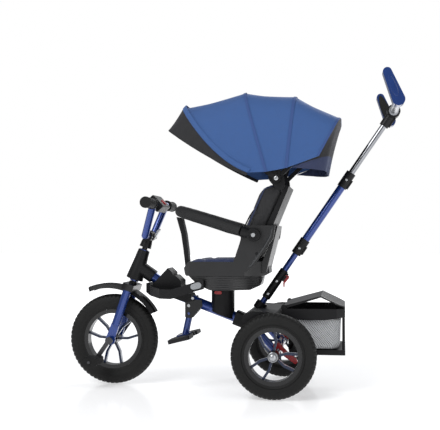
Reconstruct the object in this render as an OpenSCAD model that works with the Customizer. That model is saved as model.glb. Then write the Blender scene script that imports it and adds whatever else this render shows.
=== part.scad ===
// Children's tricycle with swivel seat, canopy and parent push bar.
// +X forward, +Y to the rider's left, +Z up. Origin on the floor, under the middle of the bounding box.

/* [Overall] */
// Rear axle to front axle
wheelbase = 553; // [520:1:640]
// Distance between the middles of the rear tyres
track = 430; // [410:1:500]

/* [Wheels] */
// Front tyre diameter
front_wheel_d = 300; // [285:1:310]
// Rear tyre diameter
rear_wheel_d = 262; // [250:1:272]
// Width of every tyre
tyre_w = 48; // [40:1:50]
// Rim opening as a share of the tyre diameter
rim_open = 0.57; // [0.52:0.01:0.6]
// Rear axle and front spindle diameter
axle_d = 12; // [10:1:14]
// Hub diameter
hub_d = 34; // [30:1:40]
// Crank length
crank_len = 73; // [60:1:80]
// Crank angle below the horizontal, pointing forward
crank_dip = 55; // [40:1:70]

/* [Steering] */
// Lean of the steering axis from the vertical
head_angle = 19; // [17:0.5:20]
// Distance of each fork leg from the middle
fork_half = 46; // [42:1:48]
// Fork leg diameter
leg_d = 28; // [24:1:30]
// Steerer diameter
steerer_d = 18; // [16:1:19]
// Half width of the handlebar over its grips
bar_half = 205; // [180:1:215]
// Height of the grips
grip_z = 598; // [590:1:605]

/* [Frame] */
// Main tube diameter
tube_d = 34; // [30:1:36]
// Wall of the steel tubes
tube_wall = 2; // [1.5:0.1:2.5]
// Seat swivel axis, ahead of the rear axle
seat_x = 184; // [175:1:190]
// Underside of the seat
seat_z = 322; // [320:1:330]

/* [Seat] */
// Half width of the seat over its side wings
seat_half = 158; // [150:1:162]
// Wall of the seat shell
shell_t = 5; // [4:0.5:6]
// Height of the top of the backrest
back_top = 652; // [640:1:660]

/* [Push bar] */
// Lean of the push bar from the vertical
bar_angle = 34.5; // [34:0.1:35.5]
// Lower push tube diameter
lower_d = 20; // [19:0.5:21]
// Upper push tube diameter
upper_d = 26; // [26:0.5:28]
// Chrome tube diameter
chrome_d = 20; // [18:0.5:21]
// Half width of the push handle
handle_half = 245; // [220:1:260]

/* [Basket] */
// Half width of the basket
basket_half = 140; // [120:1:150]
// Length of the basket behind the rear axle
basket_len = 214; // [180:1:230]

/* [Hidden] */
$fn = 64;
royal = "#1d3f9e";
cloth_blue = "#3d5fa5";
black = "#202226";
steel = "#c9ccd0";
red = "#b01822";
grey = "#8d9094";

run = 0.05;                       // radial running clearance
gap = 0.5;                        // gap between fixed covers and what they cover
side_gap = 1;                     // gap beside what turns
front_r = front_wheel_d / 2;
rear_r = rear_wheel_d / 2;
bar_x = 60;                       // foot of the push bar axis
bar_z = 267;
bar_top = 760;                    // distance along the bar to the handle's axis
handle_x = bar_x - sin(bar_angle) * bar_top;
handle_z = bar_z + cos(bar_angle) * bar_top;
ear_back = 18;                    // how far the ears reach behind the handle's axis
x_mid = (wheelbase + front_r + handle_x - ear_back) / 2;

function steer_x(z) = wheelbase - tan(head_angle) * (z - front_r);
function shifted(points, by) = [for (p = points) p + by];

module place() { translate([-x_mid, 0, 0]) children(); }
module both() { children(); mirror([0, 1, 0]) children(); }
// along the steering axis, from the height z on it
module on_steer(z) { translate([steer_x(z), 0, z]) rotate([0, -head_angle, 0]) children(); }
// along the push bar, from the distance s up it
module on_bar(s) {
  translate([bar_x - sin(bar_angle) * s, 0, bar_z + cos(bar_angle) * s]) rotate([0, -bar_angle, 0])
      children();
}
// a round bar from p to q
module rod(p, q, d) {
  v = q - p;
  flat = norm([v[0], v[1]]);
  translate(p) rotate([0, atan2(flat, v[2]), atan2(v[1], v[0])]) cylinder(d = d, h = norm(v));
}
// a round bar through points, with ball corners
module bent(points, d) {
  for (i = [0 : len(points) - 2]) rod(points[i], points[i + 1], d);
  for (i = [1 : 1 : len(points) - 2]) translate(points[i]) sphere(d = d + 0.2);
}
// a round bar across the tricycle
module cross(x, y, z, d, w) { translate([x, y, z]) rotate([90, 0, 0])
    cylinder(d = d, h = w, center = true); }
// a side outline, as x and z, with a width across
module slab(y, w) { translate([0, y + w / 2, 0]) rotate([90, 0, 0]) linear_extrude(w) children(); }
// an upright rounded block
module round_block(size, r) {
  linear_extrude(size[2]) union() {
    square([size[0] - 2 * r, size[1]], center = true);
    square([size[0], size[1] - 2 * r], center = true);
    for (sx = [-1, 1], sy = [-1, 1])
      translate([sx * (size[0] / 2 - r), sy * (size[1] / 2 - r)]) circle(r);
  }
}
// a stadium outline between two points
module pill(p, q, r1, r2) { hull() { translate(p) circle(r1, $fn = 32); translate(q)
    circle(r2, $fn = 32); } }

// ---- frame ----
head_d = 30;                      // head tube
head_low = 344;                   // height of its lower and upper ends on the steering axis
head_high = 448;
bearing_h = 9;
tube_top = [steer_x(392), 0, 392];
tube_bend = [seat_x + 145, 0, 296];
tube_end = [92, 0, 208];
tube_dir = (tube_bend - tube_end) / norm(tube_bend - tube_end);
tube_slope = atan2(tube_dir[2], tube_dir[0]);

module main_frame() {
  color(royal) place() difference() {
    union() {
      bent([tube_top, tube_bend, tube_end], tube_d);
      on_steer(head_low) cylinder(d = head_d, h = (head_high - head_low) / cos(head_angle));
    }
    bent([tube_top, tube_bend, tube_end - tube_dir], tube_d - 2 * tube_wall);
    on_steer(head_low - 20) cylinder(d = head_d - 6, h = 200);
  }
}
cover_low = 350;
cover_high = 446;
module head_cover() {
  neck = tube_bend - tube_top;
  color(black) place() difference() {
    union() {
      on_steer(cover_low) cylinder(d1 = 58, d2 = 38, h = (cover_high - cover_low) / cos(head_angle));
      rod(tube_top, tube_top + neck * 62 / norm(neck), tube_d + 12);
    }
    on_steer(cover_low - 20) cylinder(d = head_d + 2 * gap, h = 200);
    bent([tube_top, tube_bend], tube_d + 2 * gap);
  }
}
module headset_bearings() {
  color(steel) place() for (z = [head_low + 1, head_high - bearing_h])
    on_steer(z) difference() {
      cylinder(d = head_d - 6 - 2 * run, h = bearing_h);
      translate([0, 0, -1]) cylinder(d = steerer_d + 2 * run, h = bearing_h + 2);
    }
}
// housing over the rear axle: takes the main tube, the push bar stub and the stays
housing_half = track / 2 - tyre_w / 2 - 12;
module rear_housing() {
  color(black) place() difference() {
    union() {
      translate(tube_end - tube_dir * 50) rotate([0, 90 - tube_slope, 0]) rotate([0, 0, 90])
        round_block([46, 48, 105], 8);
      slab(0, 2 * housing_half)
        polygon([[-14, 226], [-14, 246], [-4, 258], [72, 262], [96, 250], [100, 226], [70, 206],
            [20, 206]]);
      on_bar(-14) cylinder(d = 38, h = 26);
    }
    rod(tube_end, tube_end + tube_dir * 120, tube_d + 2 * gap);
    on_bar(-6) cylinder(d = lower_d + 2 * run, h = 60);
  }
}
// two stays down to the axle tube
axle_tube_half = track / 2 - tyre_w / 2 - 2;
stay_y = 112;
module rear_subframe() {
  color(royal) place() difference() {
    union() {
      cross(0, 0, rear_r, axle_d + 12, 2 * axle_tube_half);
      both() rod([62, stay_y, 200], [0, stay_y, rear_r], 22);
      both() slab(64, 8) pill([0, rear_r], brake_pivot, 10, 8.5);
    }
    cross(brake_pivot[0], 0, brake_pivot[1], brake_d + 2 * run, 200);
    cross(0, 0, rear_r, axle_d + 2 * run, 2 * track);
    slab(0, 2 * track) polygon([[-14, 226], [100, 226], [120, 206 - gap], [70, 206 - gap],
        [20, 206 - gap]]);
  }
}
hub_len = tyre_w - 4;             // rear hub
hub_in = (track - hub_len) / 2;
hub_out = (track + hub_len) / 2;
bush_d = axle_d + 8;
bush_len = 12;
flange_t = 1.5;
module rear_axle() {
  end = hub_out + side_gap + flange_t + 0.5;
  color(steel) place() {
    cross(0, 0, rear_r, axle_d, 2 * (end + 9));
    both() translate([0, end, rear_r]) rotate([-90, 0, 0]) difference() {
      cylinder(d = 21, h = 7, $fn = 6);
      translate([0, 0, -1]) cylinder(d = axle_d, h = 9);
    }
  }
}
module hub_bushes() {
  color(grey) place() both() for (side = [0, 1])
    translate([0, side ? hub_out : hub_in, rear_r]) rotate([side ? 90 : -90, 0, 0]) difference() {
      union() {
        translate([0, 0, -side_gap - flange_t]) cylinder(d = bush_d + 8, h = flange_t);
        translate([0, 0, -side_gap - flange_t]) cylinder(d = bush_d, h = bush_len + side_gap);
      }
      translate([0, 0, -5]) cylinder(d = axle_d + 2 * run, h = bush_len + 10);
    }
}
// column under the seat, saddled over the main tube
pedestal_d = 76;
swivel_pin_d = 24;
module seat_pedestal() {
  color(black) place() difference() {
    union() {
      translate([seat_x, 0, 222]) cylinder(d = pedestal_d, h = seat_z - side_gap - 222);
      translate([seat_x, 0, seat_z - side_gap - 1]) cylinder(d = swivel_pin_d, h = 30);
    }
    rod(tube_end, tube_bend + tube_dir * 60, tube_d + 2 * gap);
    translate([seat_x, 0, 238]) rotate([0, -tube_slope, 0]) translate([-80, -60, -60]) cube([160, 120, 56]);
    at_lock() translate([0, 0, -lock_travel - gap]) linear_extrude(60) lock_outline(run);
  }
}
// push knob that frees the swivel, on the rider's left
lock_w = 24;
lock_h = 10;
lock_travel = 4;
module at_lock() { translate([seat_x + 10, 14, seat_z - 13]) rotate([-90, 0, 0]) children(); }
module lock_outline(play) {
  square([lock_w - lock_h, lock_h + 2 * play], center = true);
  for (s = [-1, 1]) translate([s * (lock_w - lock_h) / 2, 0]) circle(d = lock_h + 2 * play);
}
module seat_lock() {
  color(red) place() at_lock() linear_extrude(pedestal_d / 2 - 14 + 7) lock_outline(0);
}

// ---- footboard and foot pegs ----
board_half = 150;
board_top = [[434, 334], [405, 326], [368, 320], [330, 320], [290, 332], [255, 344], [226, 352]];
module board_band(up, down) {
  polygon(concat(shifted(board_top, [0, up]),
                 [for (i = [len(board_top) - 1 : -1 : 0]) board_top[i] - [0, down]]));
}
board_plan = [[434, 42], [410, 90], [370, board_half - 16], [330, board_half], [240, board_half],
    [226, board_half - 8],
              [224, board_half - 26], [232, board_half - 34], [262, board_half - 40],
                  [292, board_half - 74],
              [306, 40]];
function mirrored(points) = concat(points,
    [for (i = [len(points) - 1 : -1 : 0]) [points[i][0], -points[i][1]]]);
function inset(points, by) = [for (p = points) [340 + (p[0] - 340) * (1 - by / 110),
    p[1] * (1 - by / board_half)]];
module footboard() {
  color(black) place() difference() {
    union() {
      intersection() {
        translate([0, 0, 200]) linear_extrude(250) polygon(mirrored(board_plan));
        slab(0, 400) board_band(0, 9);
      }
      difference() {
        intersection() {
          translate([0, 0, 200]) linear_extrude(250) polygon(mirrored(board_plan));
          slab(0, 400) board_band(4, 26);
        }
        translate([0, 0, 199]) linear_extrude(252) polygon(mirrored(inset(board_plan, 5)));
      }
      slab(0, 84) polygon([[420, 327], [362, 388], [300, 330], [276, 282], [300, 276], [366, 296]]);
    }
    bent([tube_top, tube_bend, tube_end], tube_d + 2 * gap);
    rod(tube_top, tube_top + (tube_bend - tube_top) * 64 / norm(tube_bend - tube_top), tube_d + 13);
    rod(tube_bend, tube_bend - [0, 0, 80], tube_d + 2 * gap);
    translate([seat_x, 0, 200]) cylinder(d = pedestal_d + 6, h = 200);
    translate([seat_x, 0, seat_z - 18]) cylinder(r = seat_r + 2, h = 100);
    translate([seat_x, 0, band_low - 3]) cylinder(r = band_r + 2, h = 100);
  }
}
module footboard_tips() {
  color(grey) place() both() slab(board_half + 3.4, 6)
    pill([241, 344 - 6], [256, 340 - 6], 10, 9);
}
module frame_screws() {
  color(steel) place() both() {
    translate([278, 42 + 0.2, 290]) rotate([-90, 0, 0]) cylinder(d = 9, h = 4);
    translate([60, 23 + 0.2, 197]) rotate([-90, 0, 0]) cylinder(d = 9, h = 3);
    translate([peg_pivot[0], bracket_half + 0.2, peg_pivot[1] + 26]) rotate([-90, 0, 0])
        cylinder(d = 10, h = 4);
  }
}
peg_pivot = [295, 238];
bracket_half = 20;
peg_end = [312, 160];
peg_tube_d = 22;
peg_tilt = 14;
module peg_bracket() {
  color(black) place() difference() {
    slab(0, 2 * bracket_half) polygon([[308, 288], [308, 226], [286, 222], [250, 262], [252, 282]]);
    slab(0, peg_tube_d + 4) polygon([[320, 262], [320, 200], [240, 200], [240, 236], [272, 262]]);
    bent([tube_top, tube_bend, tube_end], tube_d + 2 * gap);
    cross(peg_pivot[0], 0, peg_pivot[1], 8 + 2 * run, 100);
    footboard_space();
  }
}
module footboard_space() {
  slab(0, 86) polygon([[421, 327], [362, 389], [299, 331], [275, 282], [300, 275], [400, 300]]);
}
module peg_drop_tube() {
  color(royal) place() difference() {
    union() {
      rod([peg_pivot[0], 0, peg_pivot[1]], [peg_end[0], 0, peg_end[1]], peg_tube_d);
      cross(peg_pivot[0], 0, peg_pivot[1], peg_tube_d, peg_tube_d);
      cross(peg_pivot[0], 0, peg_pivot[1], 8, 2 * bracket_half + 6);
      translate([peg_end[0], 0, peg_end[1]]) rotate([0, peg_tilt, 0]) translate([0, 0, -8])
        round_block([44, 52, 18], 6);
    }
    for (s = [-1, 1]) peg_pin_at(s, 0.05, 3);
  }
}
peg_in = 19;                      // the pegs' fold pins, either side of the middle
peg_len = 84;
// the fold pin runs along the tilted block
module peg_pin_at(s, play, extra) {
  translate([peg_end[0], s * peg_in, peg_end[1]]) rotate([0, peg_tilt, 0]) translate([-22 - extra, 0, 1])
    rotate([0, 90, 0]) cylinder(d = 6 + 2 * play, h = 44 + 2 * extra);
}
module peg(s) {
  translate([peg_end[0], 0, peg_end[1]]) rotate([0, peg_tilt, 0]) {
    translate([0, s * (peg_in + 12.6 + peg_len / 2), -5]) round_block([72, peg_len, 12], 10);
    for (e = [-1, 1]) translate([e * 27 - 4, s * (peg_in + 8) - 15, -5]) cube([8, 30, 12]);
  }
  peg_pin_at(s, 0, 8.9);
}
module peg_left() { color(grey) place() peg(1); }
module peg_right() { color(grey) place() peg(-1); }

// ---- basket ----
rim_top = 268;
rim_wall = 4;
basket_floor = 128;
module basket_plan(in) {
  polygon([[-22, -basket_half + in], [-basket_len + 26 + in, -basket_half + in],
           [-basket_len + in, -basket_half + 26 + in], [-basket_len + in, basket_half - 26 - in],
           [-basket_len + 26 + in, basket_half - in], [-22, basket_half - in]]);
}
module basket_frame() {
  rim_side = [[-22, rim_top], [-basket_len - 2, rim_top], [-basket_len - 2, 242], [-150, 234], [-90, 234],
      [-22, 238]];
  color(black) place() difference() {
    union() {
      difference() {
        intersection() {
          translate([0, 0, 100]) linear_extrude(200) basket_plan(0);
          slab(0, 2 * basket_half) polygon(rim_side);
        }
        translate([0, 0, 99]) linear_extrude(202) intersection() {
          basket_plan(rim_wall);
          translate([-basket_len, -basket_half]) square([basket_len - 22 - rim_wall, 2 * basket_half]);
        }
      }
      for (s = [-1, 1]) translate([-basket_len + 5, s * (basket_half - 34), basket_floor])
          cylinder(d = 9, h = 118);
      translate([0, 0, basket_floor - 4]) linear_extrude(16) intersection() {
        basket_plan(0);
        translate([-basket_len, -basket_half + 22]) square([basket_len - 40, 2 * basket_half - 44]);
      }
      both() translate([-46, 40, 130]) cube([12, 12, 122]);
      both() translate([-46, 40, 236]) cube([46 - 14.02, 12, 12]);
      both() slab(basket_half - 4, 8) pill(lid_hinge, lid_hinge - [0, 14], 8, 6);
    }
    cross(lid_hinge[0], 0, lid_hinge[1], 8 + 2 * run, 3 * basket_half);
  }
}
bag_top = 232;
module basket_bag() {
  bottom = basket_floor + 12.5;
  color(grey) place() difference() {
    translate([0, 0, bottom]) linear_extrude(bag_top - bottom) intersection() {
      basket_plan(12);
      translate([-basket_len, -basket_half]) square([basket_len - 50, 2 * basket_half]);
    }
    translate([0, 0, bottom + 3]) linear_extrude(200) intersection() {
      basket_plan(15);
      translate([-basket_len, -basket_half]) square([basket_len - 53, 2 * basket_half]);
    }
  }
}
lid_hinge = [-26, rim_top + 5];
module basket_lid() {
  lid_side = [[-30, rim_top + 1], [-26, rim_top + 9], [-140, 308], [-basket_len - 1, rim_top + 5],
              [-basket_len - 1, rim_top + 1], [-140, 303]];
  color(black) place() {
    difference() {
      intersection() {
        slab(0, 2 * basket_half) polygon(lid_side);
        translate([0, 0, 200]) linear_extrude(200) basket_plan(0);
      }
      both() slab(basket_half - 3, 11) translate(lid_hinge) circle(r = 9);
    }
    cross(lid_hinge[0], 0, lid_hinge[1], 8, 2 * basket_half);
  }
}

// ---- push bar ----
socket_d = 28;
collar_wall = 3;
socket_a = 30;                    // stretches along the bar, from its foot
socket_b = 140;
lower_b = 262;
collar_a = 204;
upper_a = 214;
upper_b = 500;
collar_b = 466;
collar_len = 56;
chrome_a = 380;
chrome_b = bar_top - 24;
module bar_socket() {
  color(black) place() difference() {
    union() {
      on_bar(socket_a) cylinder(d = socket_d, h = socket_b - socket_a);
      on_bar(socket_b - 34) translate([-lever_x - 3.5, -8, 0]) cube([14, 16, 30]);
    }
    on_bar(socket_a - 5) cylinder(d = lower_d + 2 * run, h = 200);
    on_bar(socket_b - 36) translate([-lever_x - 6, -lever_w / 2 - gap, -2])
        cube([8.8, lever_w + 2 * gap, 40]);
    on_bar(lever_s) rotate([90, 0, 0]) translate([-lever_x, 0, 0])
        cylinder(d = 4 + 2 * run, h = 60, center = true);
  }
}
lever_w = 10;
lever_s = 128;                    // red lever's pin, along the bar and behind it
lever_x = 15;
module socket_lever() {
  color(red) place() on_bar(lever_s) translate([-lever_x, 0, 0]) rotate([90, 0, 0]) {
    cylinder(d = 4, h = 16, center = true);
    linear_extrude(lever_w, center = true)
      polygon([[2, -2.5], [1, 2], [-8, 4], [-12, -2], [-10, -24], [-16, -34], [-13, -36], [-5, -26]]);
  }
}
module push_tube_lower() {
  color(royal) place() on_bar(0) difference() {
    cylinder(d = lower_d, h = lower_b);
    translate([0, 0, -1]) cylinder(d = lower_d - 2 * tube_wall, h = lower_b + 2);
  }
}
slide_play = 0.08;
module push_tube_upper() {
  color(royal) place() on_bar(upper_a) difference() {
    cylinder(d = upper_d, h = upper_b - upper_a);
    translate([0, 0, -1]) cylinder(d = max(lower_d, chrome_d) + 2 * slide_play, h = upper_b);
  }
}
module push_collars() {
  color(black) place() {
    on_bar(collar_a) difference() {
      union() {
        cylinder(d = upper_d + 2 * collar_wall, h = collar_len);
        translate([-upper_d / 2 - 7, -7, 8]) cube([10, 14, 30]);
      }
      translate([0, 0, upper_a - collar_a]) cylinder(d = upper_d + 0.08, h = collar_len);
      translate([0, 0, -1]) cylinder(d = lower_d + 2 * slide_play, h = collar_len);
    }
    on_bar(collar_b) difference() {
      union() {
        cylinder(d = upper_d + 2 * collar_wall, h = collar_len);
        translate([-upper_d / 2 - 7, -7, 4]) cube([10, 14, 32]);
      }
      translate([0, 0, -1]) cylinder(d = upper_d + 0.08, h = upper_b - collar_b + 1.02);
      translate([0, 0, -1]) cylinder(d = chrome_d + 2 * slide_play, h = collar_len + 2);
    }
  }
}
module chrome_tube() {
  color(steel) place() on_bar(chrome_a) difference() {
    cylinder(d = chrome_d, h = chrome_b - chrome_a);
    translate([0, 0, -1]) cylinder(d = chrome_d - 2 * tube_wall, h = chrome_b);
  }
}
yoke_d = 26;
knuckle_w = 44;
module handle_knuckle() {
  color(black) place() on_bar(bar_top) difference() {
    union() {
      rotate([90, 0, 0]) cylinder(d = yoke_d + 16, h = knuckle_w, center = true);
      translate([0, 0, -56]) cylinder(d = chrome_d + 10, h = 50);
      translate([-19, -7, -50]) cube([12, 14, 36]);
    }
    rotate([90, 0, 0]) cylinder(d = yoke_d + 2 * run, h = knuckle_w + 2, center = true);
    translate([0, 0, -57]) cylinder(d = chrome_d + 0.04, h = chrome_b - bar_top + 57 + 0.02);
  }
}
module handle_yoke() {
  arm = handle_half - 22;
  color(steel) place() translate([handle_x, 0, handle_z]) {
    rotate([90, 0, 0]) cylinder(d = yoke_d, h = 2 * arm, center = true);
    both() translate([0, knuckle_w / 2 + 1, 0]) rotate([-90, 0, 0]) cylinder(d = yoke_d + 6, h = 6);
    both() translate([0, arm - 0.01, 0]) rotate([-90, 0, 0]) cylinder(d = yoke_d, h = 12);
  }
}
ear_len = 88;
ear_lean = 21;
module handle_ears() {
  color(royal) place() both() difference() {
    translate([handle_x, handle_half + 8, handle_z]) rotate([0, ear_lean, 0]) rotate([90, 0, 0])
      linear_extrude(42) pill([-1, 0], [0, ear_len], 19, 13);
    translate([handle_x, 0, handle_z]) rotate([-90, 0, 0])
        cylinder(d = yoke_d + 0.04, h = handle_half - 10 + 0.02);
  }
}

// ---- foot brake ----
brake_pivot = [-4, rear_r + 24];
brake_d = 9;
module brake_pedal() {
  color(red) place() {
    cross(brake_pivot[0], 0, brake_pivot[1], brake_d, 2 * housing_half - 44);
    both() slab(housing_half - 28, 14) translate(brake_pivot) union() {
      circle(d = 20);
      polygon([[-2, 10], [-10, 8], [-24, -8], [-36, -20], [-62, -39], [-66, -49], [-58, -55], [-24, -32],
          [-18, -17],
               [-6, -8]]);
    }
    both() slab(housing_half - 34.5, 29) translate(brake_pivot)
      polygon([[-28, -24], [-62, -43], [-60, -49], [-26, -31]]);
  }
}

// ---- fork and handlebar ----
crown_low = 314;
crown_high = 336;
module crown_block(grow) {
  on_steer(crown_low - grow) linear_extrude(crown_high - crown_low + 2 * grow)
    square([38 + 2 * grow, 2 * fork_half + leg_d + 6 + 2 * grow], center = true);
}
module fork_crown() {
  color(black) place() difference() {
    union() {
      intersection() {
        crown_block(0);
        on_steer(crown_low - 40) cylinder(r = fork_half + leg_d / 2 + 2, h = 120);
      }
      on_steer(crown_high - 3) cylinder(d = steerer_d, h = (stem_high - crown_high) / cos(head_angle));
      on_steer(crown_high - 3) cylinder(d = head_d - 2, h = 8);
    }
    both() leg(leg_d + 0.08, 10);
  }
}
leg_top = 330;
leg_low = 200;
module leg(d, extra) {
  on_steer(leg_low - extra) translate([0, fork_half, 0])
      cylinder(d = d, h = (leg_top - leg_low + extra) / cos(head_angle));
}
end_w = 10;
module fork_legs() {
  color(royal) place() both() difference() {
    union() {
      leg(leg_d, 0);
      translate([0, fork_half + end_w / 2, 0]) rotate([90, 0, 0]) linear_extrude(end_w) union() {
        translate([wheelbase, front_r]) circle(d = axle_d + 20);
        polygon([[wheelbase - 15, front_r + 4], [wheelbase + 15, front_r + 6],
            [steer_x(leg_low) + 13, leg_low + 6],
                 [steer_x(leg_low) - 13, leg_low]]);
      }
    }
    cross(wheelbase, 0, front_r, axle_d + 2 * run, 300);
  }
}
guard_r = 186;
guard_x = wheelbase + 15;
guard_half = tyre_w / 2 + 6;
module mudguard() {
  color(black) place() difference() {
    translate([guard_x, 0, front_r]) rotate([90, -68, 0])
      rotate_extrude(angle = 82) polygon([[guard_r - 17, -guard_half], [guard_r - 4, -guard_half + 4],
        [guard_r, -guard_half + 14], [guard_r, guard_half - 14], [guard_r - 4, guard_half - 4],
        [guard_r - 17, guard_half], [guard_r - 17, guard_half - 2.5], [guard_r - 6, guard_half - 6],
        [guard_r - 3, guard_half - 15], [guard_r - 3, -guard_half + 15], [guard_r - 6, -guard_half + 6],
        [guard_r - 17, -guard_half + 2.5]]);
    crown_block(gap);
    both() leg(leg_d + 1, 200);
  }
}
stem_low = 456;
stem_high = 500;
bar_d = 24;
bar_low = 494;
module stem_clamp() {
  color(black) place() difference() {
    union() {
      on_steer(stem_low) cylinder(d1 = 40, d2 = 34, h = 26);
      on_steer(bar_low) rotate([90, 0, 0]) cylinder(d = bar_d + 12, h = 56, center = true);
      on_steer(bar_low) translate([-latch_x, 0, 0]) rotate([90, 0, 0])
          cylinder(d = 12, h = 40, center = true);
      on_steer(stem_low + 12) cylinder(d = 30, h = (bar_low - stem_low - 12) / cos(head_angle));
    }
    on_steer(stem_low - 5) cylinder(d = steerer_d + 0.04,
        h = (stem_high - stem_low + 5) / cos(head_angle) + 0.04);
    on_steer(bar_low) rotate([90, 0, 0]) cylinder(d = bar_d + 0.04, h = 70, center = true);
    on_steer(bar_low) translate([-latch_x, 0, 0]) rotate([90, 0, 0])
        cylinder(d = 5 + 2 * run, h = 70, center = true);
    on_steer(bar_low) translate([-latch_x - 14, -8 - gap, -24]) cube([19, 16 + 2 * gap, 48]);
  }
}
latch_x = 17.5;
module stem_latch() {
  color(steel) place() on_steer(bar_low) translate([-latch_x, 0, 0]) rotate([90, 0, 0]) {
    cylinder(d = 5, h = 44, center = true);
    linear_extrude(16, center = true) polygon([[4, -3], [4, 3], [-2, 10], [-5, 28], [-10, 34], [-13, 30],
        [-8, 8],
                                               [-5, -4]]);
  }
}
grip_len = 96;
loop_half = 56;                   // half width of the handlebar's foot
module handlebar() {
  foot = [steer_x(bar_low), 0, bar_low];
  top = [steer_x(grip_z), 0, grip_z];
  shoulder = bar_half - grip_len - 14;
  color(royal) place() difference() {
    union() {
      bent([top + [0, bar_half - 2, 0], top + [0, shoulder, 0], foot + [0, loop_half, 0],
          foot - [0, loop_half, 0],
            top - [0, shoulder, 0], top - [0, bar_half - 2, 0]], bar_d);
      cross(top[0], 0, top[2], 16, 2 * shoulder - 4);
    }
    on_steer(stem_low) cylinder(d = steerer_d + 0.4, h = (stem_high - stem_low) / cos(head_angle) + 0.4);
  }
}
module bar_grips() {
  color(black) place() both() translate([steer_x(grip_z), bar_half - grip_len, grip_z])
      rotate([-90, 0, 0]) difference() {
    union() {
      cylinder(d = 34, h = grip_len);
      cylinder(d = 38, h = 6);
      translate([0, 0, grip_len - 8]) cylinder(d = 36, h = 8);
    }
    translate([0, 0, -1]) cylinder(d = bar_d + 0.04, h = grip_len - 2 + 1.02);
  }
}
console_half = 56;
module at_console() { translate([steer_x(grip_z) + 3, 0, grip_z + 2]) rotate([0, -47, 0]) children(); }
module console() {
  color(black) place() difference() {
    at_console() rotate([90, 0, 0]) translate([0, 0, -console_half]) linear_extrude(2 * console_half)
      union() {
        square([44, 30], center = true);
        square([52, 22], center = true);
        for (sx = [-1, 1], sy = [-1, 1]) translate([sx * 22, sy * 11]) circle(4);
      }
    cross(steer_x(grip_z), 0, grip_z, 16.04, 200);
    at_console() translate([-8, 0, 9]) cylinder(d = button_d + 2 * run, h = 20);
  }
}
button_d = 22;
module console_button() {
  color(red) place() at_console() translate([-8, 0, 13]) cylinder(d = button_d, h = 6);
}

// ---- wheels ----
rim_lip = 13;                     // depth of the rim ring
arm_w = 16;
arm_t = 8;
function rim_in(r) = r * rim_open;
function rim_out(r) = rim_in(r) + rim_lip;
module on_axle(x, y, z) { translate([x, y, z]) rotate([90, 0, 0]) children(); }
module tyre(r) {
  rotate_extrude($fn = 96) intersection() {
    union() {
      translate([r - tyre_w / 2, 0]) circle(d = tyre_w);
      translate([rim_out(r) + 0.02, -tyre_w * 0.4]) square([r - tyre_w / 2 - rim_out(r), tyre_w * 0.8]);
    }
    translate([rim_out(r) + 0.02, -tyre_w]) square([r, 2 * tyre_w]);
  }
}
// ring, hub and three pairs of arms; first is the angle of one pair
module rim(r, hub_half, bore, first) {
  difference() {
    union() {
      rotate_extrude($fn = 96) translate([rim_in(r), -tyre_w * 0.38]) square([rim_lip, tyre_w * 0.76]);
      cylinder(d = hub_d, h = 2 * hub_half, center = true);
      for (k = [0 : 2], s = [-1, 1]) rotate([0, 0, first + 120 * k]) mirror([0, s < 0 ? 1 : 0, 0])
        linear_extrude(arm_w, center = true) polygon([
          [hub_d / 2 - 5, 1], [rim_in(r) * 0.5, rim_in(r) * 0.2], [rim_in(r) + 3, rim_in(r) * 0.3],
          [rim_in(r) + 3, rim_in(r) * 0.3 + arm_t], [rim_in(r) * 0.5, rim_in(r) * 0.2 + arm_t],
          [hub_d / 2 - 5, 1 + arm_t]]);
    }
    cylinder(d = bore, h = 4 * hub_half, center = true);
  }
}
front_hub_half = 30;
module front_tyre() { color(black) place() on_axle(wheelbase, 0, front_r) tyre(front_r); }
module front_rim() {
  color(royal) place() on_axle(wheelbase, 0, front_r) rim(front_r, front_hub_half, axle_d + 0.02, 32);
}
crank_y = fork_half + leg_d / 2 + 3;
crank_t = 9;
pedal_pin = 9;
pedal_w = 76;
pedal_gap = 3;
function crank_tip(s) = [wheelbase + s * crank_len * cos(crank_dip),
    front_r - s * crank_len * sin(crank_dip)];
module crank_set() {
  color(steel) place() {
    cross(wheelbase, 0, front_r, axle_d, 2 * (crank_y + crank_t));
    for (s = [-1, 1]) {
      slab(s * (crank_y + crank_t / 2), crank_t) difference() {
        union() {
          translate([wheelbase, front_r]) circle(d = axle_d + 12);
          translate(crank_tip(s)) circle(d = pedal_pin + 11);
          translate([wheelbase, front_r]) rotate([0, 0, -crank_dip + (s < 0 ? 180 : 0)])
            translate([0, -7]) square([crank_len, 14]);
        }
        translate([wheelbase, front_r]) circle(d = axle_d - 0.02);
      }
      cross(crank_tip(s)[0], s * (crank_y + crank_t - 1 + (pedal_w + pedal_gap + 5) / 2), crank_tip(s)[1],
          pedal_pin,
            pedal_w + pedal_gap + 5);
    }
  }
}
module pedal(s) {
  color(black) place() translate([crank_tip(s)[0], s * (crank_y + crank_t + pedal_gap + pedal_w / 2),
      crank_tip(s)[1]])
    difference() {
      rotate([90, 0, 0]) translate([0, 0, -pedal_w / 2]) linear_extrude(pedal_w)
        polygon([[-26, -8], [-22, -12], [22, -12], [26, -8], [26, 8], [22, 12], [-22, 12], [-26, 8]]);
      cross(0, 0, 0, pedal_pin + 2 * run, pedal_w + 2);
    }
}
module pedal_left() { pedal(1); }
module pedal_right() { pedal(-1); }
module rear_tyre_left() { color(black) place() on_axle(0, track / 2, rear_r) tyre(rear_r); }
module rear_tyre_right() { color(black) place() on_axle(0, -track / 2, rear_r) tyre(rear_r); }
module rear_rim_left() {
  color(royal) place() on_axle(0, track / 2, rear_r) rim(rear_r, hub_len / 2, bush_d + 2 * run, 74);
}
module rear_rim_right() {
  color(royal) place() on_axle(0, -track / 2, rear_r) rim(rear_r, hub_len / 2, bush_d + 2 * run, 20);
}

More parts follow.
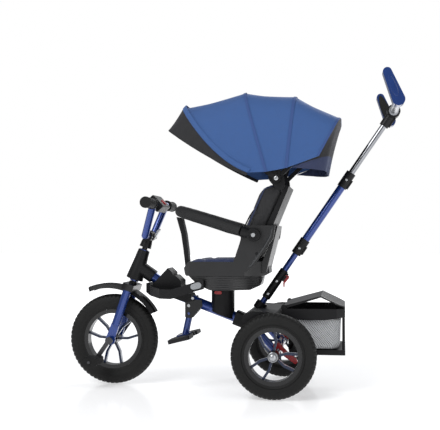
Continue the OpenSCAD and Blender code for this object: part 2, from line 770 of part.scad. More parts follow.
// ---- seat ----
seat_r = 138;                     // round of the seat behind its swivel axis
wing_out = seat_half - 18;
wing_top = 526;
band_r = 165;                     // round of the wider band above the bowl
band_low = 367;
seat_side = [[292, 392], [288, 372], [280, 364], [250, 340], [206, seat_z], [84, seat_z], [56, 334],
    [46, 362],
             [26, 374], [30, 412], [276, 412]];
module band_plan(in) {
  intersection() {
    translate([seat_x - 200, -wing_out + in]) square([308 - in, 2 * (wing_out - in)]);
    translate([seat_x, 0]) circle(r = band_r - in, $fn = 96);
  }
}
bumper_pivot = [66, 496];
recline_pivot = [58, 438];
module seat_shell() {
  color(black) place() difference() {
    union() {
      intersection() {
        union() {
          translate([seat_x, 0, 300]) cylinder(r = seat_r, h = band_low - 299, $fn = 96);
          translate([0, 0, band_low]) linear_extrude(100) band_plan(0);
        }
        slab(0, 2 * wing_out) polygon(seat_side);
      }
      both() slab(wing_out - shell_t / 2, shell_t)
        polygon([[134, 405], [112, 470], [97, wing_top], [0, wing_top], [6, 486], [46, 430], [66, 400],
            [92, 380],
                 [130, 380]]);
      slab(0, 180) polygon([[-4, wing_top], [0, wing_top], [30, 448], [50, 400], [50, 374], [34, 374]]);
      both() slab(wing_out - shell_t - 2.5, 7)
        polygon([[12, wing_top], [0, wing_top], [6, 486], [46, 430], [66, 400], [78, 404], [58, 434],
            [18, 490]]);
    }
    translate([0, 0, 378]) linear_extrude(200) intersection() {
      band_plan(shell_t);
      translate([50, -wing_out + 13]) square([400, 2 * (wing_out - 13)]);
    }
    translate([0, 0, 378]) linear_extrude(200) intersection() {
      band_plan(shell_t);
      translate([96, -wing_out]) square([400, 2 * wing_out]);
    }
    translate([seat_x, 0, 300]) cylinder(d = swivel_pin_d + 2 * run, h = 200);
    cross(bumper_pivot[0], 0, bumper_pivot[1], 10 + 2 * run, 400);
    cross(recline_pivot[0], 0, recline_pivot[1], 10 + 2 * run, 400);
  }
}
cushion_low = 379;
module seat_cushion() {
  color("#1c2748") place() intersection() {
    translate([0, 0, cushion_low]) linear_extrude(60) intersection() {
      band_plan(shell_t + 1);
      translate([66, -wing_out + 14]) square([260, 2 * (wing_out - 14)]);
    }
    slab(0, 300) polygon([[60, 370], [300, 370], [300, 404], [272, 416], [110, 419], [60, 414]]);
  }
}
back_half = 112;
pad_half = 126;
module backrest_frame() {
  top_x = recline_pivot[0] - 100;
  color(black) place() {
    slab(0, 2 * back_half) polygon([[52, 424], [64, 426], [66, 446], [top_x + 14, back_top],
        [top_x, back_top - 2]]);
    cross(recline_pivot[0], 0, recline_pivot[1], 10, 2 * wing_out - 1);
    both() rod([canopy_pivot[0] - 14, back_half - 4, canopy_pivot[1] - 40],
               [canopy_pivot[0], 136, canopy_pivot[1]], 10);
  }
}
module backrest_pad() {
  top_x = recline_pivot[0] - 100;
  color("#15171b") place() difference() {
    slab(0, 2 * pad_half) polygon([[66.8, 427], [112, 430], [100, 500], [top_x + 78, back_top - 6],
                                   [top_x + 62, back_top + 4], [top_x + 15.2, back_top + 1], [66.8, 446]]);
    both() rod([canopy_pivot[0] - 14, back_half - 4, canopy_pivot[1] - 40],
               [canopy_pivot[0], 136, canopy_pivot[1]], 11);
  }
}
hoop_tilt = 17;
hoop_d = 38;
hoop_x = 170;
hoop_r = 100;
hoop_y = wing_out + 12;
module bumper_bar() {
  color(black) place() translate([bumper_pivot[0], 0, bumper_pivot[1]]) rotate([0, -hoop_tilt, 0]) {
    translate([hoop_x, 0, 0]) rotate([0, 0, -90]) rotate_extrude(angle = 180) translate([hoop_r, 0])
        circle(d = hoop_d);
    both() {
      translate([hoop_x, hoop_r, 0]) sphere(d = hoop_d);
      difference() {
        union() {
          rod([46, hoop_y + 6, 0], [hoop_x, hoop_r, 0], hoop_d - 2);
          rod([4, hoop_y + 5, 0], [56, hoop_y + 3, 0], 26);
        }
        translate([-40, -wing_out - 0.6, -40]) cube([100, 2 * wing_out + 1.2, 80]);
      }
      translate([0, wing_out + 1, 0]) rotate([-90, 0, 0]) cylinder(d = 42, h = 18);
      translate([0, wing_out - shell_t - 1, 0]) rotate([-90, 0, 0]) cylinder(d = 10, h = 12);
    }
  }
}
module crotch_post() {
  color(black) place() difference() {
    slab(0, 34) polygon([[338, 556], [318, 552], [306, 500], [299, 447], [295, 396], [295, 380], [305, 380],
                         [309, 400], [314, 447], [322, 500]]);
    translate([bumper_pivot[0], 0, bumper_pivot[1]]) rotate([0, -hoop_tilt, 0]) translate([hoop_x, 0, 0])
      rotate([0, 0, -90]) rotate_extrude(angle = 180) translate([hoop_r, 0]) circle(d = hoop_d + 0.6);
  }
}
module harness() {
  color(black) place() both() slab(40, 26)
    polygon([[57, 600], [60, 602], [100, 548], [121, 500], [120, 446], [118, 434], [115, 434], [117, 446],
        [118, 500],
             [97, 546]]);
}

// ---- canopy ----
canopy_pivot = [-5, 671];
bow_t = 4;
bow_w = 14;
bow_y = 146;                      // middle of the fixed bow's leg, the others lie outside it
bow_pitch = 4.6;
bow_corner = 100;
bow_rod = 9;
// an arch from the hinge: its radius, its angle above the front, its leg's place
module bow(r, angle, y, bore) {
  translate([canopy_pivot[0], 0, canopy_pivot[1]]) rotate([0, 90 - angle, 0]) {
    both() {
      difference() {
        union() {
          translate([-bow_w / 2, y - bow_t / 2, 0]) cube([bow_w, bow_t, r - bow_corner + 4]);
          translate([0, y + bow_t / 2, 0]) rotate([90, 0, 0]) cylinder(d = 26, h = bow_t);
        }
        cross(0, 0, 0, bore, 400);
      }
      translate([0, y - bow_corner, r - bow_corner]) rotate([90, 0, 90]) rotate_extrude(angle = 90)
        translate([bow_corner, 0]) circle(d = bow_rod);
    }
    translate([0, 0, r]) rotate([90, 0, 0]) cylinder(d = bow_rod, h = 2 * (y - bow_corner), center = true);
  }
}
bow_radii = [254, 250, 276, 364];
bow_angles = [136, 105, 70.5, 36.9];
pin_bore = 8 + 2 * run;
module canopy_mount() {
  difference() {
    color(black) place() {
      bow(bow_radii[0], bow_angles[0], bow_y, 6);
      both() slab(bow_y - 6.5, 5) pill([canopy_pivot[0] + 2, canopy_pivot[1] + 6], [-14, 652], 24, 16);
      both() translate([canopy_pivot[0], bow_y - 9, canopy_pivot[1]]) rotate([-90, 0, 0])
        cylinder(d = 8, h = 3 * bow_pitch + 13);
      both() translate([canopy_pivot[0], bow_y + 3 * bow_pitch + 3.5, canopy_pivot[1]]) rotate([-90, 0, 0])
        cylinder(d = 16, h = 4);
    }
    place() both() rod([canopy_pivot[0] - 14, back_half - 4, canopy_pivot[1] - 40],
                       [canopy_pivot[0], 136, canopy_pivot[1]], 10.04);
  }
}
module canopy_bow_rear() { color(black) place()
    bow(bow_radii[1], bow_angles[1], bow_y + bow_pitch, pin_bore); }
module canopy_bow_middle() { color(black) place()
    bow(bow_radii[2], bow_angles[2], bow_y + 2 * bow_pitch, pin_bore); }
module canopy_bow_front() { color(black) place()
    bow(bow_radii[3], bow_angles[3], bow_y + 3 * bow_pitch, pin_bore); }
cloth_half = 178;
cloth_t = 3;
hem = [[-205, 860], [-62, 934], [100, 950], [303, 903]];
module cloth(outline, inner) {
  difference() {
    intersection() {
      slab(0, 2 * cloth_half) polygon(outline);
      roof_form(0);
    }
    intersection() {
      slab(0, 2 * (cloth_half - cloth_t)) polygon(inner);
      roof_form(cloth_t);
    }
  }
}
// rounded shoulders, seen from the front
module roof_form(in) {
  rotate([90, 0, 90]) translate([0, 0, -400]) linear_extrude(900) union() {
    translate([-cloth_half + in, 600]) square([2 * (cloth_half - in), 270]);
    translate([-cloth_half + 84, 600]) square([2 * (cloth_half - 84), 360 - in]);
    for (s = [-1, 1]) translate([s * (cloth_half - 84), 870]) circle(r = 84 - in);
  }
}
module canopy_rear_cloth() {
  color(cloth_blue) place()
    cloth([hem[2], hem[1], hem[0], [-172, 780], [-168, 694], [-140, 690], [-95, 717], [-35, 704],
        [26, 694], [80, 700]],
          [[102, 946], [102, 800], [90, 640], [-200, 640], [-169, 780], [-201, 860], hem[1] - [0, 3.4],
              hem[2] - [0, 3.2]]);
}
module canopy_front_cloth() {
  color(cloth_blue) place()
    cloth([hem[2] + [1, 0], [82, 702], [84, 684], [160, 692], [352, 838], hem[3]],
          [[100, 946.6], [60, 640], [170, 640], [380, 800], [348, 838], [300, 899]]);
}

// ---- what is drawn ----
main_frame();
head_cover();
headset_bearings();
rear_housing();
rear_subframe();
rear_axle();
hub_bushes();
seat_pedestal();
footboard();
footboard_tips();
frame_screws();
peg_bracket();
basket_frame();
basket_bag();
bar_socket();
push_tube_lower();
push_tube_upper();
push_collars();
chrome_tube();
handle_knuckle();
handle_yoke();
handle_ears();
socket_lever();
basket_lid();
peg_drop_tube();
peg_left();
peg_right();
brake_pedal();
fork_crown();
fork_legs();
mudguard();
stem_clamp();
handlebar();
bar_grips();
console();
stem_latch();
console_button();
front_tyre();
front_rim();
crank_set();
pedal_left();
pedal_right();
rear_tyre_left();
rear_rim_left();
rear_tyre_right();
rear_rim_right();
seat_shell();
seat_cushion();
seat_lock();
backrest_frame();
backrest_pad();
bumper_bar();
crotch_post();
harness();
canopy_mount();
canopy_bow_rear();
canopy_bow_middle();
canopy_bow_front();
canopy_rear_cloth();
canopy_front_cloth();
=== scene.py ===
# Children's tricycle: swivel seat, folding canopy, push bar and rear basket.
import bpy
import bmesh
import math
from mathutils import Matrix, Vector


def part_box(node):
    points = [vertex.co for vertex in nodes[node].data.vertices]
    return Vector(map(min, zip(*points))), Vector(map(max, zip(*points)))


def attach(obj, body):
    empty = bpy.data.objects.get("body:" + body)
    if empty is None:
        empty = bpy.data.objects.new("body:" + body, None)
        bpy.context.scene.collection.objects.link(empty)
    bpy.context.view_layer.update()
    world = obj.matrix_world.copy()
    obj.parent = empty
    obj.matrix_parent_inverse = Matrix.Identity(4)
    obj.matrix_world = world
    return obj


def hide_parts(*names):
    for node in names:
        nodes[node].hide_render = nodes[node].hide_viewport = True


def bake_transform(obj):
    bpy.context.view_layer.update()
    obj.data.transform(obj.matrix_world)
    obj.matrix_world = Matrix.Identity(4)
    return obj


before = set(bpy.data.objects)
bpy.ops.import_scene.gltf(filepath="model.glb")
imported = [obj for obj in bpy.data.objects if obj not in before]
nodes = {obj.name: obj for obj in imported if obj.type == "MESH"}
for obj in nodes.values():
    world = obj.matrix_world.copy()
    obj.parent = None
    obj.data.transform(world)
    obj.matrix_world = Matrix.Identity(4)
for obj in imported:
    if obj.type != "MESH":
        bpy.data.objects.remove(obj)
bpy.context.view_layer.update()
for piece in list(bpy.context.selected_objects):
    piece.select_set(False)


# ---- Camera ----
# It stands to the rear left of the tricycle, a little above the seat.
camera = bpy.data.objects.new("camera", bpy.data.cameras.new("camera"))
bpy.context.scene.collection.objects.link(camera)
camera.location = (-0.3694, 2.7442, 0.4894)
camera.rotation_euler = Vector((0.1465, -0.9889, 0.0264)).to_track_quat("-Z", "Y").to_euler()
camera.data.sensor_width = 36.0
camera.data.lens = 68.6
bpy.context.scene.camera = camera


# ---- Rear axle frame ----
# Every measure below is taken from the rear axle, in millimetres, and moved
# back by the distance from the axle to the middle of the tricycle.
axle_back = -0.15727


def at(x, y, z):
    return Vector((x / 1000 + axle_back, y / 1000, z / 1000))


# ---- Painted steel tubes ----
# Welded steel tubes in a deep royal-blue metallic paint under a clear coat:
# main tube, rear stays, push tubes, fork legs, handlebar and peg tube.


def math_node(tree, operation, first, second=None, clamp=False):
    node = tree.nodes.new("ShaderNodeMath")
    node.operation = operation
    node.use_clamp = clamp
    for slot, value in ((0, first), (1, second)):
        if value is None:
            continue
        if isinstance(value, (int, float)):
            node.inputs[slot].default_value = value
        else:
            tree.links.new(value, node.inputs[slot])
    return node.outputs[0]


def blend_colour(tree, factor, first, second):
    node = tree.nodes.new("ShaderNodeMix")
    node.data_type = "RGBA"
    for slot, value in ((0, factor), (6, first), (7, second)):
        if isinstance(value, (int, float)):
            node.inputs[slot].default_value = value
        elif isinstance(value, (tuple, list)):
            node.inputs[slot].default_value = (*value[:3], 1)
        else:
            tree.links.new(value, node.inputs[slot])
    return node.outputs[2]


def noise(tree, scale, detail=3.0, roughness=0.5, vector=None, distortion=0.0):
    node = tree.nodes.new("ShaderNodeTexNoise")
    node.inputs["Scale"].default_value = scale
    node.inputs["Detail"].default_value = detail
    node.inputs["Roughness"].default_value = roughness
    node.inputs["Distortion"].default_value = distortion
    if vector is None:
        vector = tree.nodes.new("ShaderNodeTexCoord").outputs["Object"]
    tree.links.new(vector, node.inputs["Vector"])
    return node.outputs["Fac"]


def new_material(name):
    material = bpy.data.materials.new(name)
    material.use_nodes = True
    tree = material.node_tree
    shader = next(n for n in tree.nodes if n.type == "BSDF_PRINCIPLED")
    return material, tree, shader


def bump(tree, shader, height, strength, distance):
    node = tree.nodes.new("ShaderNodeBump")
    node.inputs["Strength"].default_value = strength
    node.inputs["Distance"].default_value = distance
    tree.links.new(height, node.inputs["Height"])
    tree.links.new(node.outputs["Normal"], shader.inputs["Normal"])


def dress(material, *names):
    for name in names:
        data = nodes[name].data
        data.materials.clear()
        data.materials.append(material)


blue_paint, tree, shader = new_material("royal_blue_paint")
flakes = tree.nodes.new("ShaderNodeTexVoronoi")
flakes.inputs["Scale"].default_value = 2600.0
tree.links.new(tree.nodes.new("ShaderNodeTexCoord").outputs["Object"], flakes.inputs["Vector"])
flake_tone = math_node(tree, "MULTIPLY", flakes.outputs["Color"], 0.35)
broad_tone = noise(tree, 9.0, 3.0)
paint = blend_colour(tree, broad_tone, (0.004, 0.019, 0.13), (0.008, 0.036, 0.21))
tree.links.new(blend_colour(tree, flake_tone, paint, (0.02, 0.075, 0.34)), shader.inputs["Base Color"])
tree.links.new(math_node(tree, "ADD", math_node(tree, "MULTIPLY", broad_tone, 0.12), 0.22),
    shader.inputs["Roughness"])
shader.inputs["Metallic"].default_value = 0.55
shader.inputs["Coat Weight"].default_value = 0.7
shader.inputs["Coat Roughness"].default_value = 0.08
bump(tree, shader, noise(tree, 160.0, 2.0), 0.08, 0.0002)
dress(blue_paint, "main_frame", "rear_subframe", "push_tube_lower", "push_tube_upper", "fork_legs",
    "handlebar",
      "peg_drop_tube")


# ---- Black mouldings ----
# Injection-moulded polypropylene covers and fittings with a fine spark grain.


def effect_group(name, inputs, outputs):
    group = bpy.data.node_groups.new(name, "ShaderNodeTree")
    for label, kind, value in inputs:
        socket = group.interface.new_socket(label, in_out="INPUT", socket_type=kind)
        socket.default_value = value
    for label, kind in outputs:
        group.interface.new_socket(label, in_out="OUTPUT", socket_type=kind)
    return group, group.nodes.new("NodeGroupInput"), group.nodes.new("NodeGroupOutput")


grain_group, grain_in, grain_out = effect_group(
    "moulded_grain",
    [("Scale", "NodeSocketFloat", 900.0), ("Dark", "NodeSocketColor", (0.01, 0.01, 0.01, 1)),
     ("Light", "NodeSocketColor", (0.03, 0.03, 0.03, 1)), ("Rough", "NodeSocketFloat", 0.5),
     ("Spread", "NodeSocketFloat", 0.1)],
    [("Colour", "NodeSocketColor"), ("Roughness", "NodeSocketFloat"), ("Height", "NodeSocketFloat")])
grain_place = grain_group.nodes.new("ShaderNodeTexCoord").outputs["Object"]
grain_fine = grain_group.nodes.new("ShaderNodeTexNoise")
grain_group.links.new(grain_place, grain_fine.inputs["Vector"])
grain_group.links.new(grain_in.outputs["Scale"], grain_fine.inputs["Scale"])
grain_fine.inputs["Detail"].default_value = 2.0
grain_broad = noise(grain_group, 14.0, 4.0, 0.55, grain_place)
grain_group.links.new(blend_colour(grain_group, grain_broad, grain_in.outputs["Dark"],
    grain_in.outputs["Light"]),
                      grain_out.inputs["Colour"])
grain_swing = math_node(grain_group, "MULTIPLY", math_node(grain_group, "SUBTRACT", grain_broad, 0.5),
                        grain_in.outputs["Spread"])
grain_group.links.new(math_node(grain_group, "ADD", grain_in.outputs["Rough"], grain_swing, clamp=True),
                      grain_out.inputs["Roughness"])
grain_group.links.new(grain_fine.outputs["Fac"], grain_out.inputs["Height"])


def moulded(name, dark, light, rough, spread=0.12, scale=900.0, depth=0.00012, coat=0.0, metal=0.0):
    material, tree, shader = new_material(name)
    grain = tree.nodes.new("ShaderNodeGroup")
    grain.node_tree = grain_group
    grain.inputs["Scale"].default_value = scale
    grain.inputs["Dark"].default_value = (*dark, 1)
    grain.inputs["Light"].default_value = (*light, 1)
    grain.inputs["Rough"].default_value = rough
    grain.inputs["Spread"].default_value = spread
    tree.links.new(grain.outputs["Colour"], shader.inputs["Base Color"])
    tree.links.new(grain.outputs["Roughness"], shader.inputs["Roughness"])
    shader.inputs["Metallic"].default_value = metal
    shader.inputs["Specular IOR Level"].default_value = 0.22
    shader.inputs["Coat Weight"].default_value = coat
    shader.inputs["Coat Roughness"].default_value = 0.12
    bump(tree, shader, grain.outputs["Height"], 0.35, depth)
    return material


black_mould = moulded("black_moulding", (0.0025, 0.0025, 0.003), (0.007, 0.007, 0.008), 0.42, 0.2, 1100.0,
    0.00015)
dress(black_mould, "head_cover", "rear_housing", "seat_pedestal", "footboard", "bar_socket", "push_collars",
      "handle_knuckle", "mudguard", "stem_clamp", "console", "crotch_post", "backrest_frame", "basket_frame",
      "canopy_mount", "canopy_bow_rear", "canopy_bow_middle", "canopy_bow_front")
satin_black = moulded("satin_black_paint", (0.003, 0.003, 0.0035), (0.007, 0.007, 0.008), 0.32, 0.1, 300.0,
    0.00006,
                      coat=0.3, metal=0.2)
dress(satin_black, "fork_crown", "peg_bracket")
rubber = moulded("grip_rubber", (0.003, 0.003, 0.003), (0.009, 0.009, 0.009), 0.62, 0.16, 1500.0, 0.0003)
dress(rubber, "bar_grips", "pedal_left", "pedal_right")
grey_mould = moulded("grey_moulding", (0.20, 0.21, 0.22), (0.30, 0.31, 0.32), 0.45, 0.12, 900.0, 0.00012)
dress(grey_mould, "footboard_tips", "hub_bushes")
peg_mould = moulded("peg_moulding", (0.006, 0.006, 0.007), (0.016, 0.016, 0.018), 0.5, 0.15, 700.0, 0.0003)
dress(peg_mould, "peg_left", "peg_right")
red_mould = moulded("red_moulding", (0.30, 0.006, 0.010), (0.42, 0.012, 0.018), 0.3, 0.1, 500.0, 0.00006,
    coat=0.4)
dress(red_mould, "socket_lever", "brake_pedal", "seat_lock", "console_button")


# ---- Bright metal ----
# Zinc-plated axle, bearings, cranks and screws, a polished chrome tube, and
# a satin silver cross tube in the handle.
zinc = moulded("zinc_plate", (0.36, 0.37, 0.38), (0.55, 0.56, 0.57), 0.34, 0.2, 240.0, 0.00004, metal=1.0)
dress(zinc, "rear_axle", "headset_bearings", "frame_screws", "stem_latch")
dark_steel = moulded("dark_steel", (0.05, 0.05, 0.055), (0.10, 0.10, 0.105), 0.36, 0.2, 240.0, 0.00004,
    metal=0.9)
dress(dark_steel, "crank_set")
chrome = moulded("polished_chrome", (0.20, 0.205, 0.22), (0.30, 0.305, 0.32), 0.09, 0.05, 60.0, 0.00001,
    metal=1.0)
dress(chrome, "chrome_tube")
satin_silver = moulded("satin_silver", (0.36, 0.37, 0.39), (0.46, 0.47, 0.49), 0.3, 0.1, 420.0, 0.00003,
    metal=0.8)
dress(satin_silver, "handle_yoke")
blue_gloss = moulded("blue_gloss_plastic", (0.004, 0.019, 0.095), (0.008, 0.032, 0.145), 0.26, 0.1, 500.0,
    0.00004, coat=0.5)
dress(blue_gloss, "handle_ears")


# ---- Tyres ----
# Air tyres of black rubber. The tread is a ring of shallow blocks on the
# shoulders with fine rings round the sidewall, moulded in one with the tyre.


def from_points(name, points, faces, material):
    mesh = bpy.data.meshes.new(name)
    mesh.from_pydata([tuple(p) for p in points], [], faces)
    mesh.update()
    piece = bpy.data.objects.new(name, mesh)
    bpy.context.scene.collection.objects.link(piece)
    mesh.materials.append(material)
    return piece


def face_outwards(piece):
    work = bmesh.new()
    work.from_mesh(piece.data)
    bmesh.ops.remove_doubles(work, verts=work.verts, dist=0.00002)
    bmesh.ops.recalc_face_normals(work, faces=work.faces)
    work.to_mesh(piece.data)
    work.free()
    return piece


def select_only(*objects):
    bpy.ops.object.select_all(action="DESELECT")
    for piece in objects:
        piece.select_set(True)
    bpy.context.view_layer.objects.active = objects[0]


tyre_rubber, tree, shader = new_material("tyre_rubber")
dust = noise(tree, 30.0, 4.0)
tree.links.new(blend_colour(tree, dust, (0.003, 0.003, 0.003), (0.010, 0.010, 0.0095)),
    shader.inputs["Base Color"])
tree.links.new(math_node(tree, "ADD", math_node(tree, "MULTIPLY", dust, 0.2), 0.52),
    shader.inputs["Roughness"])
shader.inputs["Specular IOR Level"].default_value = 0.25
bump(tree, shader, noise(tree, 1400.0, 2.0), 0.3, 0.0002)


def make_tyre(name, cad_name, x, y, z, radius, body, block_count):
    # Profile of the cross-section: distance in from the tread, then half width.
    bead = radius * 0.57 + 13.3
    half = [(bead, 17.5), (bead + 4, 18.8), (bead + 7, 20.2), (bead + 7.8, 19.4), (radius - 34, 22.2),
            (radius - 29, 23.3), (radius - 28.2, 22.6), (radius - 22, 23.4), (radius - 14, 21.6),
            (radius - 12.4, 20.4),
            (radius - 8, 17.0), (radius - 3.2, 9.5), (radius - 2.4, 4.0), (radius - 3.4, 3.2),
            (radius - 3.4, 0.6)]
    ring = [(r, w) for r, w in half] + [(r, -w) for r, w in reversed(half)]
    steps = 8 * block_count
    points = []
    for step in range(steps):
        turn = 2 * math.pi * step / steps
        in_block = step % 8
        for k, (r, w) in enumerate(ring):
            side = 1 if w > 0 else -1
            phase = (in_block + (4 if side < 0 else 0)) % 8
            lift = 0.0
            if radius - 13 < r < radius - 2.6 and abs(w) > 3.5:
                lift = 1.6 if phase < 5 else 0.0
            if abs(w) <= 4.0 and r > radius - 4:
                lift = 1.6 if in_block < 6 else 0.6
            rr = r + lift
            ww = w + (0.7 * side if lift > 1.2 and abs(w) > 15 else 0)
            points.append(at(x + rr * math.cos(turn), y + ww, z + rr * math.sin(turn)))
    faces = []
    count = len(ring)
    for step in range(steps):
        after = (step + 1) % steps
        for k in range(count):
            nxt = (k + 1) % count
            faces.append((step * count + k, step * count + nxt, after * count + nxt, after * count + k))
    tyre = face_outwards(from_points(name, points, faces, tyre_rubber))
    select_only(tyre)
    bpy.ops.object.shade_smooth_by_angle(angle=math.radians(32))
    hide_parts(cad_name)
    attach(tyre, body)


make_tyre("front_tyre_tread", "front_tyre", 553, 0, 150, 150, "front_wheel", 60)
make_tyre("rear_tyre_left_tread", "rear_tyre_left", 0, 215, 131, 131, "rear_wheel_left", 54)
make_tyre("rear_tyre_right_tread", "rear_tyre_right", 0, -215, 131, 131, "rear_wheel_right", 54)


# ---- Wheel rims ----
# Moulded rims: a gloss black ring and three pairs of arms, dark navy on the
# outside and silver-painted on their inner edges.


def rim_finish(name, x, z, ring_from):
    material, tree, shader = new_material(name)
    centre = tree.nodes.new("ShaderNodeMapping")
    centre.inputs["Location"].default_value = (-at(x, 0, 0).x, 0, -z / 1000)
    tree.links.new(tree.nodes.new("ShaderNodeTexCoord").outputs["Object"], centre.inputs["Vector"])
    parts = tree.nodes.new("ShaderNodeSeparateXYZ")
    tree.links.new(centre.outputs["Vector"], parts.inputs["Vector"])
    reach = math_node(tree, "SQRT", math_node(tree, "ADD", math_node(tree, "POWER", parts.outputs["X"], 2.0),
                                              math_node(tree, "POWER", parts.outputs["Z"], 2.0)))
    in_ring = math_node(tree, "MULTIPLY", math_node(tree, "SUBTRACT", reach, ring_from / 1000), 2000.0,
        clamp=True)
    in_hub = math_node(tree, "MULTIPLY", math_node(tree, "SUBTRACT", 0.019, reach), 2000.0, clamp=True)
    facing = tree.nodes.new("ShaderNodeSeparateXYZ")
    tree.links.new(tree.nodes.new("ShaderNodeTexCoord").outputs["Normal"], facing.inputs["Vector"])
    outward = math_node(tree, "POWER", facing.outputs["Y"], 2.0)
    edge = math_node(tree, "MULTIPLY", math_node(tree, "SUBTRACT", outward, 0.5), 8.0, clamp=True)
    scuff = noise(tree, 45.0, 5.0)
    navy = blend_colour(tree, scuff, (0.003, 0.009, 0.030), (0.006, 0.015, 0.048))
    silver = blend_colour(tree, scuff, (0.34, 0.36, 0.42), (0.55, 0.57, 0.62))
    arm = blend_colour(tree, edge, silver, navy)
    dark = math_node(tree, "MAXIMUM", in_ring, in_hub)
    tree.links.new(blend_colour(tree, dark, arm, (0.004, 0.004, 0.0045)), shader.inputs["Base Color"])
    tree.links.new(math_node(tree, "ADD", math_node(tree, "MULTIPLY", scuff, 0.14), 0.2),
        shader.inputs["Roughness"])
    shader.inputs["Coat Weight"].default_value = 0.35
    shader.inputs["Coat Roughness"].default_value = 0.1
    shader.inputs["Specular IOR Level"].default_value = 0.3
    bump(tree, shader, noise(tree, 380.0, 2.0), 0.12, 0.0001)
    return material


dress(rim_finish("front_rim_finish", 553, 150, 84.5), "front_rim")
dress(rim_finish("rear_rim_finish", 0, 131, 73.7), "rear_rim_left", "rear_rim_right")


# ---- Hub caps ----
# Pressed silver caps snapped over the rear axle nuts, with a rolled rim.
for name, side, body in (("hub_cap_left", 1, "rear_wheel_left"), ("hub_cap_right", -1, "rear_wheel_right")):
    outline = [(0, 13.6), (4, 13.2), (8, 11.6), (11.5, 8.4), (13.2, 4.0), (14.6, 3.4), (15.6, 2.0),
        (15.6, 0.4),
               (14.4, 0.0), (12.4, 0.0), (12.2, 3.6), (10.4, 7.8), (7.2, 10.4), (3.6, 12.0), (0, 12.4)]
    points, faces = [], []
    for step in range(48):
        turn = 2 * math.pi * step / 48
        points += [at(r * math.cos(turn), side * (238.2 + h), 131 + r * math.sin(turn)) for r, h in outline]
    for step in range(48):
        after = (step + 1) % 48
        for k in range(len(outline) - 1):
            faces.append((step * 15 + k, step * 15 + k + 1, after * 15 + k + 1, after * 15 + k))
    cap = face_outwards(from_points(name, points, faces, satin_silver))
    select_only(cap)
    bpy.ops.object.shade_smooth_by_angle(angle=math.radians(40))
    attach(cap, body)


# ---- Canopy cloth ----
# Denim-blue woven polyester, sewn in three gores over the bows. A welt covers
# each seam, and the front edge has a wide stitched hem.


def apply_modifier(piece, kind, **settings):
    modifier = piece.modifiers.new(kind.lower(), kind)
    for key, value in settings.items():
        setattr(modifier, key, value)
    select_only(piece)
    bpy.ops.object.modifier_apply(modifier=modifier.name)
    return piece


weave_group, weave_in, weave_out = effect_group(
    "woven_cloth",
    [("Threads", "NodeSocketFloat", 900.0), ("Dark", "NodeSocketColor", (0.01, 0.03, 0.15, 1)),
     ("Light", "NodeSocketColor", (0.03, 0.08, 0.3, 1))],
    [("Colour", "NodeSocketColor"), ("Roughness", "NodeSocketFloat"), ("Height", "NodeSocketFloat")])
weave_uv = weave_group.nodes.new("ShaderNodeUVMap").outputs["UV"]
waves = []
for direction in ("X", "Y"):
    wave = weave_group.nodes.new("ShaderNodeTexWave")
    wave.bands_direction = direction
    wave.inputs["Distortion"].default_value = 0.6
    weave_group.links.new(weave_uv, wave.inputs["Vector"])
    weave_group.links.new(weave_in.outputs["Threads"], wave.inputs["Scale"])
    waves.append(wave.outputs["Fac"])
weave_height = math_node(weave_group, "ADD", math_node(weave_group, "MULTIPLY", waves[0], 0.5),
                         math_node(weave_group, "MULTIPLY", waves[1], 0.5))
slub = noise(weave_group, 55.0, 5.0, 0.65, weave_uv)
melange = noise(weave_group, 420.0, 2.0, 0.6, weave_uv)
weave_mix = math_node(weave_group, "ADD", math_node(weave_group, "MULTIPLY", weave_height, 0.3),
                      math_node(weave_group, "ADD", math_node(weave_group, "MULTIPLY", slub, 0.3),
                                math_node(weave_group, "MULTIPLY", melange, 0.4)), clamp=True)
weave_group.links.new(blend_colour(weave_group, weave_mix, weave_in.outputs["Dark"],
    weave_in.outputs["Light"]),
                      weave_out.inputs["Colour"])
weave_group.links.new(math_node(weave_group, "ADD", math_node(weave_group, "MULTIPLY", slub, 0.2), 0.68),
                      weave_out.inputs["Roughness"])
weave_group.links.new(weave_height, weave_out.inputs["Height"])


def cloth_finish(name, dark, light, threads=420.0, depth=0.0003, sheen=0.25, tint=(0.5, 0.6, 0.9)):
    material, tree, shader = new_material(name)
    weave = tree.nodes.new("ShaderNodeGroup")
    weave.node_tree = weave_group
    weave.inputs["Threads"].default_value = threads
    weave.inputs["Dark"].default_value = (*dark, 1)
    weave.inputs["Light"].default_value = (*light, 1)
    tree.links.new(weave.outputs["Colour"], shader.inputs["Base Color"])
    tree.links.new(weave.outputs["Roughness"], shader.inputs["Roughness"])
    shader.inputs["Sheen Weight"].default_value = sheen
    shader.inputs["Sheen Roughness"].default_value = 0.5
    shader.inputs["Sheen Tint"].default_value = (*tint, 1)
    bump(tree, shader, weave.outputs["Height"], 0.4, depth)
    return material


blue_cloth = cloth_finish("blue_canopy_cloth", (0.010, 0.042, 0.15), (0.030, 0.095, 0.27))
welt_cloth = cloth_finish("blue_welt_cloth", (0.009, 0.032, 0.13), (0.026, 0.070, 0.22))
black_cloth = cloth_finish("black_canopy_cloth", (0.0015, 0.0015, 0.002), (0.005, 0.005, 0.007), sheen=0.1,
                           tint=(0.6, 0.6, 0.7))


